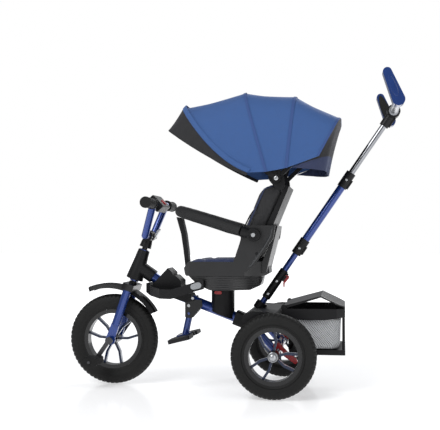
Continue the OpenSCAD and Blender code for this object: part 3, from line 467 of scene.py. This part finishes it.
def lay_sheet(name, rows, material):
    """A sheet through rows of points, with its map in metres."""
    width = len(rows[0])
    points = [p for row in rows for p in row]
    faces = [(i * width + j, i * width + j + 1, (i + 1) * width + j + 1, (i + 1) * width + j)
             for i in range(len(rows) - 1) for j in range(width - 1)]
    piece = from_points(name, points, faces, material)
    along = [[0.0] * width for _ in rows]
    across = [[0.0] * width for _ in rows]
    for i, row in enumerate(rows):
        for j in range(width):
            if j:
                across[i][j] = across[i][j - 1] + (row[j] - row[j - 1]).length
            if i:
                along[i][j] = along[i - 1][j] + (row[j] - rows[i - 1][j]).length
    uv = piece.data.uv_layers.new(name="UVMap")
    for face in piece.data.polygons:
        for loop in face.loop_indices:
            v = piece.data.loops[loop].vertex_index
            i, j = divmod(v, width)
            uv.data[loop].uv = (across[i][j] - across[i][width // 2], along[i][j])
    area = sum(face.area for face in piece.data.polygons)
    return piece, area, max(a[-1] for a in across), max(along[-1])


def thicken(piece, thick):
    apply_modifier(piece, "SOLIDIFY", thickness=thick, offset=-1.0, use_even_offset=True)
    select_only(piece)
    bpy.ops.object.shade_smooth_by_angle(angle=math.radians(50))
    return piece


# One arch of the cloth over a bow, from its lower edge on the right side, over
# the top, to the left side. It is a rounded box across, so the sides are upright.
def arch(bottom, top, count, half=174.0, power=5.2, bow_out=0.0):
    row = []
    for k in range(count):
        u = -1 + 2 * k / (count - 1)
        turn = (1 - abs(u)) * math.pi / 2
        # a superellipse, walked so that the points keep close to even steps
        c, s = math.cos(turn), math.sin(turn)
        size = (abs(c) ** power + abs(s) ** power) ** (-1 / power)
        y = half * size * c
        rise = size * s
        edge = 4 * rise * (1 - rise) * bow_out
        x = bottom[0] + (top[0] - bottom[0]) * rise
        z = bottom[1] + (top[1] - bottom[1]) * rise - edge
        row.append(at(x, math.copysign(y, -u) if u else 0.0, z))
    return row


front_hem = ((84, 689), (303, 905))
front_seam = ((26, 691), (99, 950))
rear_seam = ((-36, 702), (-62, 934))
rear_hem = ((-135, 737), (-203, 862))
across_count = 81                # points across every gore, from side to side


def gore(name, near, far, dip, far_out, body_a, body_b):
    rows = []
    steps = 18
    for i in range(steps + 1):
        t = i / steps
        sag = 4 * t * (1 - t)
        first = arch(near[0], near[1], across_count)
        last = arch(far[0], far[1], across_count, bow_out=far_out)
        row = []
        for k in range(across_count):
            p = first[k].lerp(last[k], t)
            u = abs(-1 + 2 * k / (across_count - 1))
            rise = math.sin((1 - u) * math.pi / 2)
            p.z -= dip / 1000 * sag * rise ** 2
            p.y -= math.copysign(0.004, p.y) * sag * (1 - rise) * (1 if abs(p.y) > 0.01 else 0)
            # creases that run from the bow corners into the cloth
            fold = math.sin(k * 0.9 + t * 5) * math.sin(k * 0.37 + 1.3) * 0.0011 * sag
            p.z += fold * rise
            p.y += math.copysign(fold, p.y) * (1 - rise)
            row.append(p)
        rows.append(row)
    piece, area, wide, long = lay_sheet(name, rows, blue_cloth)
    thicken(piece, 0.0013)
    if body_b:
        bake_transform(piece)
    else:
        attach(piece, body_a)
    return piece


front_gore = gore("canopy_front_gore", front_seam, front_hem, 5, 34, "canopy_middle", "canopy_front")
gore("canopy_middle_gore", rear_seam, front_seam, 5, 0, "canopy_rear", "canopy_middle")
rear_gore = gore("canopy_rear_gore", rear_hem, rear_seam, 5, 0, "backrest", "canopy_rear")
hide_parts("canopy_front_cloth")
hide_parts("canopy_rear_cloth")


# Flat-felled welts, 9 mm wide and stitched down both sides, lie on the seams.
def strip_over(name, station, out, wide, body, material, bow_out=0.0, shift=0.0, half=174.0, power=5.2):
    centre = arch(station[0], station[1], 161, half=half, power=power, bow_out=bow_out)
    lean = Vector((station[1][0] - station[0][0], 0, station[1][1] - station[0][1])).normalized()
    side_way = Vector((lean.z, 0, -lean.x))
    hub = sum(centre, Vector()) / len(centre)
    rows = []
    for offset in (-wide / 2, -wide / 4, 0, wide / 4, wide / 2):
        row = []
        for k, p in enumerate(centre):
            before, after = centre[max(k - 1, 0)], centre[min(k + 1, 160)]
            tangent = (after - before).normalized()
            normal = tangent.cross(side_way).normalized()
            if normal.dot(p - hub) < 0:
                normal = -normal
            lift = out + 0.5 * (1 - abs(offset) / (wide / 2))
            row.append(p + side_way * ((offset + shift) / 1000) + normal * (lift / 1000))
        rows.append(row)
    piece, area, across, along = lay_sheet(name, rows, material)
    face_outwards(piece)
    thicken(piece, 0.0011)
    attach(piece, body)
    return piece


strip_over("canopy_front_welt", front_seam, 1.3, 9.0, "canopy_middle", welt_cloth)
strip_over("canopy_rear_welt", rear_seam, 1.3, 9.0, "canopy_rear", welt_cloth)
strip_over("canopy_front_hem", front_hem, 1.3, 15.0, "canopy_front", blue_cloth, bow_out=34, shift=-9.0)
strip_over("canopy_rear_binding", rear_hem, 1.2, 7.0, "backrest", welt_cloth, shift=2.0)


# ---- Sun visor ----
# Black cloth sewn under the front hem and stiffened along its edge with wire.
visor_rows = []
visor_edge = ((88, 682), (352, 838))
for i in range(13):
    t = i / 12
    inner = arch(front_hem[0], front_hem[1], across_count, half=172.4, bow_out=34 * (1 - t))
    outer = arch(visor_edge[0], visor_edge[1], across_count, half=169.0, power=4.6, bow_out=10 * t)
    visor_rows.append([a_.lerp(b_, t) + Vector((0, 0, -0.004 * 4 * t * (1 - t))) for a_,
        b_ in zip(inner, outer)])
visor, area, wide, long = lay_sheet("canopy_visor", visor_rows, black_cloth)
thicken(visor, 0.0013)
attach(visor, "canopy_front")
strip_over("canopy_visor_edge", visor_edge, 0.2, 5.0, "canopy_front", black_cloth, bow_out=10, half=169.0,
           power=4.6)


# ---- Rear curtain ----
# Black cloth with a navy lower band that hangs from the rear bow round the
# child's back, open below for air.
navy_cloth = cloth_finish("navy_cloth", (0.006, 0.010, 0.035), (0.016, 0.026, 0.08), sheen=0.15,
    tint=(0.5, 0.6, 0.9))
curtain_rows = []
for i in range(15):
    t = i / 14
    upper = arch(rear_hem[0], rear_hem[1], across_count, half=172.4)
    lower = arch((-52, 704), (-160, 694), across_count, half=163.0, power=5.0)
    row = []
    for k, (a_, b_) in enumerate(zip(upper, lower)):
        p = a_.lerp(b_, t)
        p.x += 0.003 * math.sin(t * math.pi) + 0.0022 * math.sin(k * 0.8) * t
        row.append(p)
    curtain_rows.append(row)
curtain, area, wide, long = lay_sheet("canopy_curtain", curtain_rows, black_cloth)
curtain.data.materials.append(navy_cloth)
for face in curtain.data.polygons:
    if face.index // (across_count - 1) >= 10:
        face.material_index = 1
thicken(curtain, 0.0013)
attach(curtain, "backrest")


# ---- Canopy hinge plates ----
# Domed screws and a pressed cap hold the fan of bows at each side.


def place_in_mesh(piece):
    select_only(piece)
    bpy.ops.object.transform_apply(location=True, rotation=True, scale=True)
    return piece


for name, side in (("hinge_screw_left", 1), ("hinge_screw_right", -1)):
    for part, x, z, radius, out in (("a", -5, 671, 6.5, 167.7), ("b", 12, 686, 3.4, 142.2)):
        bpy.ops.object.select_all(action="DESELECT")
        bpy.ops.mesh.primitive_cylinder_add(vertices=32, radius=radius / 1000, depth=0.003,
                                            location=at(x, side * out, z), rotation=(math.pi / 2, 0, 0))
        screw = bpy.context.active_object
        screw.name = f"{name}_{part}"
        place_in_mesh(screw)
        bpy.ops.object.mode_set(mode="EDIT")
        bpy.ops.mesh.select_mode(type="FACE")
        bpy.ops.mesh.select_all(action="DESELECT")
        bpy.ops.object.mode_set(mode="OBJECT")
        for face in screw.data.polygons:
            face.select = face.normal.y * side > 0.9
        bpy.ops.object.mode_set(mode="EDIT")
        bpy.ops.mesh.inset(thickness=radius * 0.00025, depth=0.0008)
        bpy.ops.mesh.inset(thickness=radius * 0.00035, depth=0.0)
        bpy.ops.mesh.inset(thickness=radius * 0.0001, depth=-0.0012)
        bpy.ops.object.mode_set(mode="OBJECT")
        screw.data.materials.append(zinc)
        bpy.ops.object.shade_smooth_by_angle(angle=math.radians(35))
        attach(screw, "backrest")


# ---- Seat cushion ----
# Foam pad in a navy woven cover, sewn down in two channels.


def puff(name, cad_name, shrink, voxel, cap, pressure, material):
    """A copy of the pad's solid, filled with air under its cover."""
    pad = nodes[cad_name].copy()
    pad.data = nodes[cad_name].data.copy()
    for key in list(pad.keys()):
        del pad[key]
    pad.parent = None
    pad.name = name
    pad.hide_render = False
    bpy.context.scene.collection.objects.link(pad)
    face_outwards(pad)
    apply_modifier(pad, "REMESH", mode="VOXEL", voxel_size=voxel)
    low = Vector([min(v.co[k] for v in pad.data.vertices) for k in range(3)])
    high = Vector([max(v.co[k] for v in pad.data.vertices) for k in range(3)])
    middle = (low + high) / 2
    size = high - low
    for v in pad.data.vertices:
        for k in range(3):
            v.co[k] = middle[k] + (v.co[k] - middle[k]) * (1 - 2 * shrink / size[k])
    rest = [v.co.copy() for v in pad.data.vertices]
    cloth = pad.modifiers.new("fill", "CLOTH")
    cloth.settings.use_pressure = True
    cloth.settings.uniform_pressure_force = pressure
    cloth.settings.effector_weights.gravity = 0
    cloth.settings.quality = 5
    cloth.collision_settings.use_collision = False
    scene = bpy.context.scene
    for step in range(1, 16):
        scene.frame_set(step)
    select_only(pad)
    bpy.ops.object.modifier_apply(modifier="fill")
    scene.frame_set(1)
    for v, was in zip(pad.data.vertices, rest):
        move = v.co - was
        if move.length > cap:
            v.co = was + move.normalized() * cap
    smooth = pad.modifiers.new("smooth", "SMOOTH")
    smooth.factor = 0.5
    smooth.iterations = 4
    select_only(pad)
    bpy.ops.object.modifier_apply(modifier="smooth")
    pad.data.materials.clear()
    pad.data.materials.append(material)
    for face in pad.data.polygons:
        face.use_smooth = True
    return pad


def pad_finish(name, dark, light):
    """Woven cover with the weave on the pad's own place."""
    material, tree, shader = new_material(name)
    place = tree.nodes.new("ShaderNodeTexCoord").outputs["Object"]
    heights = []
    for direction in ("X", "Y", "Z"):
        wave = tree.nodes.new("ShaderNodeTexWave")
        wave.bands_direction = direction
        wave.inputs["Scale"].default_value = 330.0
        wave.inputs["Distortion"].default_value = 0.8
        tree.links.new(place, wave.inputs["Vector"])
        heights.append(wave.outputs["Fac"])
    thread = math_node(tree, "MULTIPLY", math_node(tree, "ADD", math_node(tree, "ADD", heights[0],
        heights[1]),
                                                   heights[2]), 0.33)
    slubs = noise(tree, 60.0, 5.0, 0.6, place)
    mix = math_node(tree, "ADD", math_node(tree, "MULTIPLY", thread, 0.4),
        math_node(tree, "MULTIPLY", slubs, 0.6))
    tree.links.new(blend_colour(tree, mix, dark, light), shader.inputs["Base Color"])
    tree.links.new(math_node(tree, "ADD", math_node(tree, "MULTIPLY", slubs, 0.2), 0.66),
        shader.inputs["Roughness"])
    shader.inputs["Sheen Weight"].default_value = 0.2
    shader.inputs["Sheen Roughness"].default_value = 0.5
    bump(tree, shader, thread, 0.4, 0.0004)
    return material


def add_piping(name, loop, radius, material, body):
    """A covered cord sewn along an edge."""
    curve = bpy.data.curves.new(name, "CURVE")
    curve.dimensions = "3D"
    curve.bevel_depth = radius / 1000
    curve.bevel_resolution = 2
    spline = curve.splines.new("POLY")
    spline.points.add(len(loop) - 1)
    for point, p in zip(spline.points, loop):
        point.co = (*p, 1)
    spline.use_cyclic_u = True
    piece = bpy.data.objects.new(name, curve)
    bpy.context.scene.collection.objects.link(piece)
    select_only(piece)
    bpy.ops.object.convert(target="MESH")
    piece = bpy.context.active_object
    piece.data.materials.clear()
    piece.data.materials.append(material)
    for face in piece.data.polygons:
        face.use_smooth = True
    face_outwards(piece)
    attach(piece, body)
    return piece


navy_pad = pad_finish("navy_seat_cover", (0.007, 0.014, 0.052), (0.020, 0.036, 0.12))
black_pad = pad_finish("black_back_cover", (0.0015, 0.0015, 0.002), (0.006, 0.006, 0.008))
cushion = puff("seat_pad", "seat_cushion", 3.0 / 1000, 0.0055, 0.008, 3.0, navy_pad)
seat_low, seat_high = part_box("seat_cushion")
seat_mid = (seat_low + seat_high) / 2
for v in cushion.data.vertices:
    u = v.co.x - seat_mid.x
    w = v.co.y
    if v.co.z > seat_mid.z:
        # two sewn channels across, and a dip where the child sits
        for line in (-0.048, 0.052):
            v.co.z -= 0.0042 * math.exp(-((u - line) / 0.0055) ** 2)
        v.co.z -= 0.006 * math.exp(-(u / 0.09) ** 2 - (w / 0.08) ** 2)
apply_modifier(cushion, "SUBSURF", levels=1, render_levels=1)
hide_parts("seat_cushion")
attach(cushion, "seat")


# ---- Backrest pad ----
# Thick padded back in black cloth, quilted in three panels across, with a
# navy piping round its front face.
back_pad = puff("back_pad", "backrest_pad", 5.0 / 1000, 0.0065, 0.010, 3.0, black_pad)
back_up = Vector((-64, 0, 146)).normalized()
back_out = Vector((146, 0, 64)).normalized()
back_from = at(100, 0, 500)
for v in back_pad.data.vertices:
    along = (v.co - back_from).dot(back_up)
    out = (v.co - back_from).dot(back_out)
    if out > -0.03:
        for line in (-0.005, 0.075):
            v.co -= back_out * (0.006 * math.exp(-((along - line) / 0.006) ** 2))
        for line in (-0.078, 0.078):
            v.co -= back_out * (0.005 * math.exp(-((v.co.y - line) / 0.006) ** 2))
apply_modifier(back_pad, "SUBSURF", levels=1, render_levels=1)
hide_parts("backrest_pad")
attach(back_pad, "backrest")
edge_side = [(108, 440), (98, 500), (66, 575), (36, 640), (14, 650)]
edge_loop = [at(x, 119, z) for x, z in edge_side]
edge_loop += [at(10, 119 - 238 * k / 10, 652) for k in range(1, 10)]
edge_loop += [at(x, -119, z) for x, z in reversed(edge_side)]
edge_loop += [at(110, -119 + 238 * k / 10, 433) for k in range(1, 10)]
add_piping("back_piping", edge_loop, 2.6, navy_cloth, "backrest")


# ---- Harness ----
# Black nylon webbing, 26 mm wide, that falls from slots in the backrest to the seat.
webbing, tree, shader = new_material("nylon_webbing")
place = tree.nodes.new("ShaderNodeTexCoord").outputs["Object"]
ribs = tree.nodes.new("ShaderNodeTexWave")
ribs.bands_direction = "Z"
ribs.inputs["Scale"].default_value = 260.0
ribs.inputs["Distortion"].default_value = 1.5
tree.links.new(place, ribs.inputs["Vector"])
tree.links.new(blend_colour(tree, ribs.outputs["Fac"], (0.003, 0.003, 0.0035), (0.010, 0.010, 0.012)),
               shader.inputs["Base Color"])
tree.links.new(math_node(tree, "ADD", math_node(tree, "MULTIPLY", noise(tree, 90.0), 0.2), 0.5),
               shader.inputs["Roughness"])
bump(tree, shader, ribs.outputs["Fac"], 0.5, 0.0004)
strap_side = [(59, 600), (74, 582), (90, 560), (104, 532), (114, 512), (119, 495), (119.5, 475),
    (118.5, 455), (117, 443),
              (116, 435)]
for name, side in (("harness_left", 1), ("harness_right", -1)):
    rows = []
    for i, (x, z) in enumerate(strap_side):
        inward = 3 * math.sin(i * 0.7)
        rows.append([at(x, side * 40 + inward + w, z + 0.02 * abs(w)) for w in (-13, -12, -6, 0, 6, 12, 13)])
    strap, area, wide, long = lay_sheet(name, rows, webbing)
    face_outwards(strap)
    thicken(strap, 0.0016)
    if side > 0:
        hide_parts("harness")
    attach(strap, "backrest")


# ---- Safety bar ----
# Steel hoop in a sleeve of black foam, with a round latch disc at each end.
foam, tree, shader = new_material("foam_sleeve")
cells = noise(tree, 520.0, 3.0, 0.7)
tree.links.new(blend_colour(tree, noise(tree, 22.0, 3.0), (0.0025, 0.0025, 0.003), (0.007, 0.007, 0.008)),
               shader.inputs["Base Color"])
shader.inputs["Roughness"].default_value = 0.78
bump(tree, shader, cells, 0.5, 0.0006)
hoop_tilt = math.radians(17)


def on_bumper(x, y, z):
    return at(66 + x * math.cos(hoop_tilt) - z * math.sin(hoop_tilt), y,
              496 + x * math.sin(hoop_tilt) + z * math.cos(hoop_tilt))


path = [(40, 158), (80, 142), (120, 123.5), (150, 109.5)]
path += [(170 + 100 * math.sin(math.radians(a_)), 100 * math.cos(math.radians(a_))) for a_ in range(0, 181,
    6)]
path += [(x, -y) for x, y in [(150, 109.5), (120, 123.5), (80, 142), (40, 158)]]
points, faces = [], []
around = 28
for i, (x, y) in enumerate(path):
    before, after = path[max(i - 1, 0)], path[min(i + 1, len(path) - 1)]
    tangent = Vector((after[0] - before[0], after[1] - before[1])).normalized()
    sideways = Vector((tangent.y, -tangent.x))
    radius = 18.6 + 0.25 * math.sin(i * 1.9)
    if i in (0, len(path) - 1):
        radius = 16.5
    for k in range(around):
        turn = 2 * math.pi * k / around
        crease = 0.5 * math.exp(-((turn - 1.5 * math.pi) / 0.08) ** 2)
        r = radius - crease * 1.8
        points.append(on_bumper(x + sideways.x * r * math.cos(turn), y + sideways.y * r * math.cos(turn),
                                r * math.sin(turn)))
for i in range(len(path) - 1):
    for k in range(around):
        nxt = (k + 1) % around
        faces.append((i * around + k, i * around + nxt, (i + 1) * around + nxt, (i + 1) * around + k))
faces.append(tuple(range(around)))
faces.append(tuple(range((len(path) - 1) * around, len(path) * around)))
hoop = face_outwards(from_points("safety_bar_foam", points, faces, foam))
select_only(hoop)
bpy.ops.object.shade_smooth_by_angle(angle=math.radians(60))
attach(hoop, "bumper")
for name, side in (("bar_disc_left", 1), ("bar_disc_right", -1)):
    bpy.ops.object.select_all(action="DESELECT")
    bpy.ops.mesh.primitive_cylinder_add(vertices=64, radius=0.0205, depth=0.030,
                                        location=at(66, side * 156.2, 496), rotation=(math.pi / 2, 0, 0))
    disc = bpy.context.active_object
    disc.name = name
    place_in_mesh(disc)
    for face in disc.data.polygons:
        face.select = face.normal.y * side > 0.9
    bpy.ops.object.mode_set(mode="EDIT")
    bpy.ops.mesh.inset(thickness=0.0012, depth=0.001)
    bpy.ops.mesh.inset(thickness=0.0055, depth=0.0)
    bpy.ops.mesh.inset(thickness=0.0008, depth=-0.0012)
    bpy.ops.mesh.inset(thickness=0.006, depth=0.0)
    bpy.ops.mesh.inset(thickness=0.0006, depth=0.0014)
    bpy.ops.object.mode_set(mode="OBJECT")
    disc.data.materials.append(black_mould)
    disc.data.materials.append(zinc)
    for face in disc.data.polygons:
        near = Vector((face.center.x - at(66, 0, 0).x, 0, face.center.z - 0.496)).length
        if near < 0.0056 and face.normal.y * side > 0.5:
            face.material_index = 1
    bpy.ops.object.shade_smooth_by_angle(angle=math.radians(35))
    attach(disc, "bumper")
for name, side in (("bar_end_left", 1), ("bar_end_right", -1)):
    outline = [(6, 141.2, 12.5), (16, 141.2, 15.0), (28, 140.8, 17.2), (40, 140.5, 18.5)]
    points, faces = [], []
    for x, inner, r in outline:
        for k in range(24):
            turn = 2 * math.pi * k / 24
            y = max(inner, 158 - (x - 4) * 0.02 + r * math.cos(turn))
            points.append(on_bumper(x, side * y, r * 0.95 * math.sin(turn)))
    for i in range(3):
        for k in range(24):
            nxt = (k + 1) % 24
            faces.append((i * 24 + k, i * 24 + nxt, (i + 1) * 24 + nxt, (i + 1) * 24 + k))
    faces += [tuple(range(24)), tuple(range(72, 96))]
    knuckle = face_outwards(from_points(name, points, faces, black_mould))
    select_only(knuckle)
    bpy.ops.object.shade_smooth_by_angle(angle=math.radians(40))
    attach(knuckle, "bumper")
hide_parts("bumper_bar")


# ---- Basket ----
# Light grey knitted mesh bag laced inside the black rim, over a black tray.
# The pitched lid is a black moulding with a dark grey lip along each side.
mesh_cloth, tree, shader = new_material("grey_mesh")
place = tree.nodes.new("ShaderNodeUVMap").outputs["UV"]
lattice = []
for turn in (math.pi / 4, -math.pi / 4):
    spin = tree.nodes.new("ShaderNodeMapping")
    spin.inputs["Rotation"].default_value = (0, 0, turn)
    tree.links.new(place, spin.inputs["Vector"])
    wave = tree.nodes.new("ShaderNodeTexWave")
    wave.bands_direction = "X"
    wave.inputs["Scale"].default_value = 62.0
    tree.links.new(spin.outputs["Vector"], wave.inputs["Vector"])
    lattice.append(wave.outputs["Fac"])
thread = math_node(tree, "MAXIMUM", lattice[0], lattice[1])
solid = math_node(tree, "MULTIPLY", math_node(tree, "SUBTRACT", thread, 0.62), 6.0, clamp=True)
tree.links.new(blend_colour(tree, thread, (0.16, 0.165, 0.17), (0.42, 0.43, 0.44)),
    shader.inputs["Base Color"])
shader.inputs["Roughness"].default_value = 0.7
tree.links.new(math_node(tree, "ADD", math_node(tree, "MULTIPLY", solid, 0.62), 0.36, clamp=True),
               shader.inputs["Alpha"])
bump(tree, shader, thread, 0.5, 0.0006)
bag_outline = [(-56, 124), (-120, 126), (-176, 124), (-198, 104), (-201, 0), (-198, -104), (-176, -124),
    (-120, -126),
               (-56, -124), (-54, 0)]
loop = []
for i, p in enumerate(bag_outline):
    q = bag_outline[(i + 1) % len(bag_outline)]
    loop += [(p[0] + (q[0] - p[0]) * k / 8, p[1] + (q[1] - p[1]) * k / 8) for k in range(8)]
loop.append(loop[0])
rows = []
for z, draw, sag in ((232, 1.0, 0), (222, 0.985, 0), (200, 0.965, 0), (178, 0.955, 0), (160, 0.945, 0),
    (150, 0.93, 0),
                     (145, 0.90, 0), (142.6, 0.84, 0), (141.8, 0.6, 1), (141.4, 0.3, 1), (141.2, 0.02, 1)):
    rows.append([at(-128 + (x + 128) * draw, y * draw, z + 0.8 * math.sin(k * 0.8) * (1 if z > 150 else 0))
                 for k, (x, y) in enumerate(loop)])
bag, area, wide, long = lay_sheet("basket_mesh", rows, mesh_cloth)
thicken(bag, 0.0016)
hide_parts("basket_bag")
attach(bag, "frame")

lid_mould = moulded("lid_moulding", (0.003, 0.003, 0.0035), (0.009, 0.009, 0.010), 0.36, 0.16, 700.0, 0.0002)
dress(lid_mould, "basket_lid")
lip_mould = moulded("lip_moulding", (0.030, 0.031, 0.033), (0.055, 0.056, 0.058), 0.32, 0.12, 700.0, 0.0001)
for name, side in (("lid_lip_left", 1), ("lid_lip_right", -1)):
    loop = [at(x, side * y, z) for x, y, z in
            ((-40, 138.4, 275.5), (-90, 138.4, 291.5), (-140, 138.4, 307.3), (-188, 138.4, 285.0),
                (-213, 114, 273.8))]
    rows = [[p + Vector((0, -side * w / 1000, lift / 1000)) for w,
        lift in ((0, -1.5), (-0.6, 0.4), (1.5, 1.3), (4, 0.9))]
            for p in loop]
    lip, area, wide, long = lay_sheet(name, rows, lip_mould)
    face_outwards(lip)
    thicken(lip, 0.0015)
    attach(lip, "basket_lid")


# ---- Seat shell and backrest shell ----
# One glossy black moulding; a dark grey trim strip is clipped to the rear
# edge of each wing, and shallow ribs run round the bowl.
shell_mould, tree, shader = new_material("seat_shell_moulding")
grain = tree.nodes.new("ShaderNodeGroup")
grain.node_tree = grain_group
grain.inputs["Scale"].default_value = 900.0
grain.inputs["Dark"].default_value = (0.0025, 0.0025, 0.003, 1)
grain.inputs["Light"].default_value = (0.007, 0.007, 0.008, 1)
grain.inputs["Rough"].default_value = 0.36
grain.inputs["Spread"].default_value = 0.16
tree.links.new(grain.outputs["Colour"], shader.inputs["Base Color"])
tree.links.new(grain.outputs["Roughness"], shader.inputs["Roughness"])
height = tree.nodes.new("ShaderNodeSeparateXYZ")
tree.links.new(tree.nodes.new("ShaderNodeTexCoord").outputs["Object"], height.inputs["Vector"])
ridge = math_node(tree, "SINE", math_node(tree, "MULTIPLY", height.outputs["Z"], 900.0))
low = math_node(tree, "MULTIPLY", math_node(tree, "SUBTRACT", 0.366, height.outputs["Z"]), 900.0, clamp=True)
bump(tree, shader, math_node(tree, "MULTIPLY", ridge, low), 0.25, 0.0012)
dress(shell_mould, "seat_shell")
trim_grey = moulded("trim_grey", (0.020, 0.021, 0.024), (0.034, 0.035, 0.038), 0.24, 0.1, 500.0, 0.00004,
    coat=0.5)
wing_trim = [(10, 520), (16, 492), (34, 462), (54, 432), (74, 404), (84, 394)]
for name, side in (("wing_trim_left", 1), ("wing_trim_right", -1)):
    rows = []
    for i, (x, z) in enumerate(wing_trim):
        wide = 6 if i not in (0, 5) else 4
        rows.append([at(x + w * 0.86, side * (140.2 + lift), z + w * 0.5)
                     for w, lift in ((-wide / 2, 0.2), (-wide / 4, 1.3), (0, 1.7), (wide / 4, 1.3),
                         (wide / 2, 0.2))])
    trim, area, wide, long = lay_sheet(name, rows, trim_grey)
    face_outwards(trim)
    thicken(trim, 0.0009)
    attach(trim, "seat")


# ---- Push handle pads ----
# Black pads on the inner faces of the two blue ends are painted shade: they stand in for the shade on each
# end's inner face. A ring button sits on the outside.
for name, side in (("handle_pad_left", 1), ("handle_pad_right", -1)):
    lean = math.radians(21)
    # The inner part is a black sheet of painted shade; the outer part is the blue ring button.
    for part, out, material, grow in (("inner", 210.2, rubber, 1.0), ("outer", 253.4, blue_gloss, 0.7)):
        points, faces = [], []
        rim = []
        for k in range(40):
            turn = 2 * math.pi * k / 40
            up = 44 + 44 * math.sin(turn)
            width = (17 - 5 * up / 88) * grow
            rim.append((width * math.cos(turn), 44 + 50 * grow * math.sin(turn)))
        bulge = -1 if part == "inner" else 1
        for level, (scale, lift) in enumerate(((1.0, -0.6), (1.0, 0.9), (0.94, 1.5), (0.6, 1.9),
            (0.05, 2.0))):
            for x, up in rim:
                xx, uu = x * scale, 44 + (up - 44) * scale
                points.append(at(-370.47 + xx * math.cos(lean) + uu * math.sin(lean),
                                 side * (out + bulge * lift * (0.5 if part == "outer" else 1)),
                                 893.33 - xx * math.sin(lean) + uu * math.cos(lean)))
        for level in range(4):
            for k in range(40):
                nxt = (k + 1) % 40
                faces.append((level * 40 + k, level * 40 + nxt, (level + 1) * 40 + nxt, (level + 1) * 40 + k))
        faces += [tuple(range(40)), tuple(range(160, 200))]
        pad = face_outwards(from_points(f"{name}_{part}", points, faces, material))
        select_only(pad)
        bpy.ops.object.shade_smooth_by_angle(angle=math.radians(40))
        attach(pad, "handle")


# ---- Collar pins ----
# Silver cross pins in the push bar's socket and collars.
bar_lean = math.radians(34.5)
for name, along, reach, body in (("socket_pin_a", 46, 14.4, "frame"), ("socket_pin_b", 96, 14.4, "frame"),
                                 ("collar_pin_a", 226, 16.7, "push_mid"),
                                 ("collar_pin_b", 494, 16.7, "push_mid")):
    for side in (1, -1):
        bpy.ops.object.select_all(action="DESELECT")
        bpy.ops.mesh.primitive_cylinder_add(
            vertices=28, radius=0.0042, depth=0.004,
            location=at(60 - along * math.sin(bar_lean), side * (reach - 0.6),
            267 + along * math.cos(bar_lean)),
            rotation=(math.pi / 2, 0, 0))
        pin = bpy.context.active_object
        pin.name = f"{name}_{'left' if side > 0 else 'right'}"
        place_in_mesh(pin)
        for face in pin.data.polygons:
            face.select = face.normal.y * side > 0.9
        bpy.ops.object.mode_set(mode="EDIT")
        bpy.ops.mesh.inset(thickness=0.0008, depth=0.0006)
        bpy.ops.mesh.inset(thickness=0.0012, depth=0.0)
        bpy.ops.mesh.inset(thickness=0.0003, depth=-0.0008)
        bpy.ops.object.mode_set(mode="OBJECT")
        pin.data.materials.append(zinc)
        bpy.ops.object.shade_smooth_by_angle(angle=math.radians(35))
        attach(pin, body)


# ---- Studio ----
# A pale floor with a painted glow, grey near the tricycle and white further off, and soft lights.
bpy.ops.object.select_all(action="DESELECT")
bpy.ops.mesh.primitive_plane_add(size=40, location=(0, 0, 0))
floor = bpy.context.active_object
floor.name = "floor"
floor_paint_and_glow, tree, shader = new_material("floor_paint_and_glow")
shader.inputs["Base Color"].default_value = (0.90, 0.90, 0.91, 1)
spread = tree.nodes.new("ShaderNodeVectorMath")
spread.operation = "LENGTH"
tree.links.new(tree.nodes.new("ShaderNodeTexCoord").outputs["Object"], spread.inputs[0])
# Painted glow: the floor emits grey light within a metre of the middle, rising to white by about 2.7 m out.
far = math_node(tree, "MULTIPLY", math_node(tree, "SUBTRACT", spread.outputs["Value"], 1.0), 0.6, clamp=True)
tree.links.new(blend_colour(tree, far, (0.45, 0.45, 0.45), (1, 1, 1)), shader.inputs["Emission Color"])
shader.inputs["Emission Strength"].default_value = 1.0
shader.inputs["Roughness"].default_value = 0.14
shader.inputs["Specular IOR Level"].default_value = 0.35
floor.data.materials.append(floor_paint_and_glow)
world = bpy.data.worlds.new("studio")
bpy.context.scene.world = world
world.use_nodes = True
tree = world.node_tree
behind = tree.nodes["Background"]
behind.inputs["Color"].default_value = (1, 1, 1, 1)
behind.inputs["Strength"].default_value = 1.0
around_light = tree.nodes.new("ShaderNodeBackground")
around_light.inputs["Color"].default_value = (0.93, 0.95, 0.98, 1)
around_light.inputs["Strength"].default_value = 0.38
rays = tree.nodes.new("ShaderNodeLightPath")
either = tree.nodes.new("ShaderNodeMixShader")
tree.links.new(rays.outputs["Is Camera Ray"], either.inputs[0])
tree.links.new(around_light.outputs[0], either.inputs[1])
tree.links.new(behind.outputs[0], either.inputs[2])
tree.links.new(either.outputs[0], tree.nodes["World Output"].inputs["Surface"])
for name, place, aim, power, size in (("key", (1.6, 2.6, 3.0), (0, 0, 0.4), 95, 2.2),
                                      ("fill", (-2.8, 2.4, 1.6), (0, 0, 0.5), 35, 2.5),
                                      ("rim", (-1.2, -2.6, 2.6), (0, 0, 0.5), 60, 2.0)):
    lamp = bpy.data.objects.new(name, bpy.data.lights.new(name, "AREA"))
    lamp.data.energy = power
    lamp.data.size = size
    lamp.location = place
    lamp.rotation_euler = (Vector(aim) - Vector(place)).to_track_quat("-Z", "Y").to_euler()
    bpy.context.scene.collection.objects.link(lamp)
bpy.context.scene.view_settings.view_transform = "Standard"
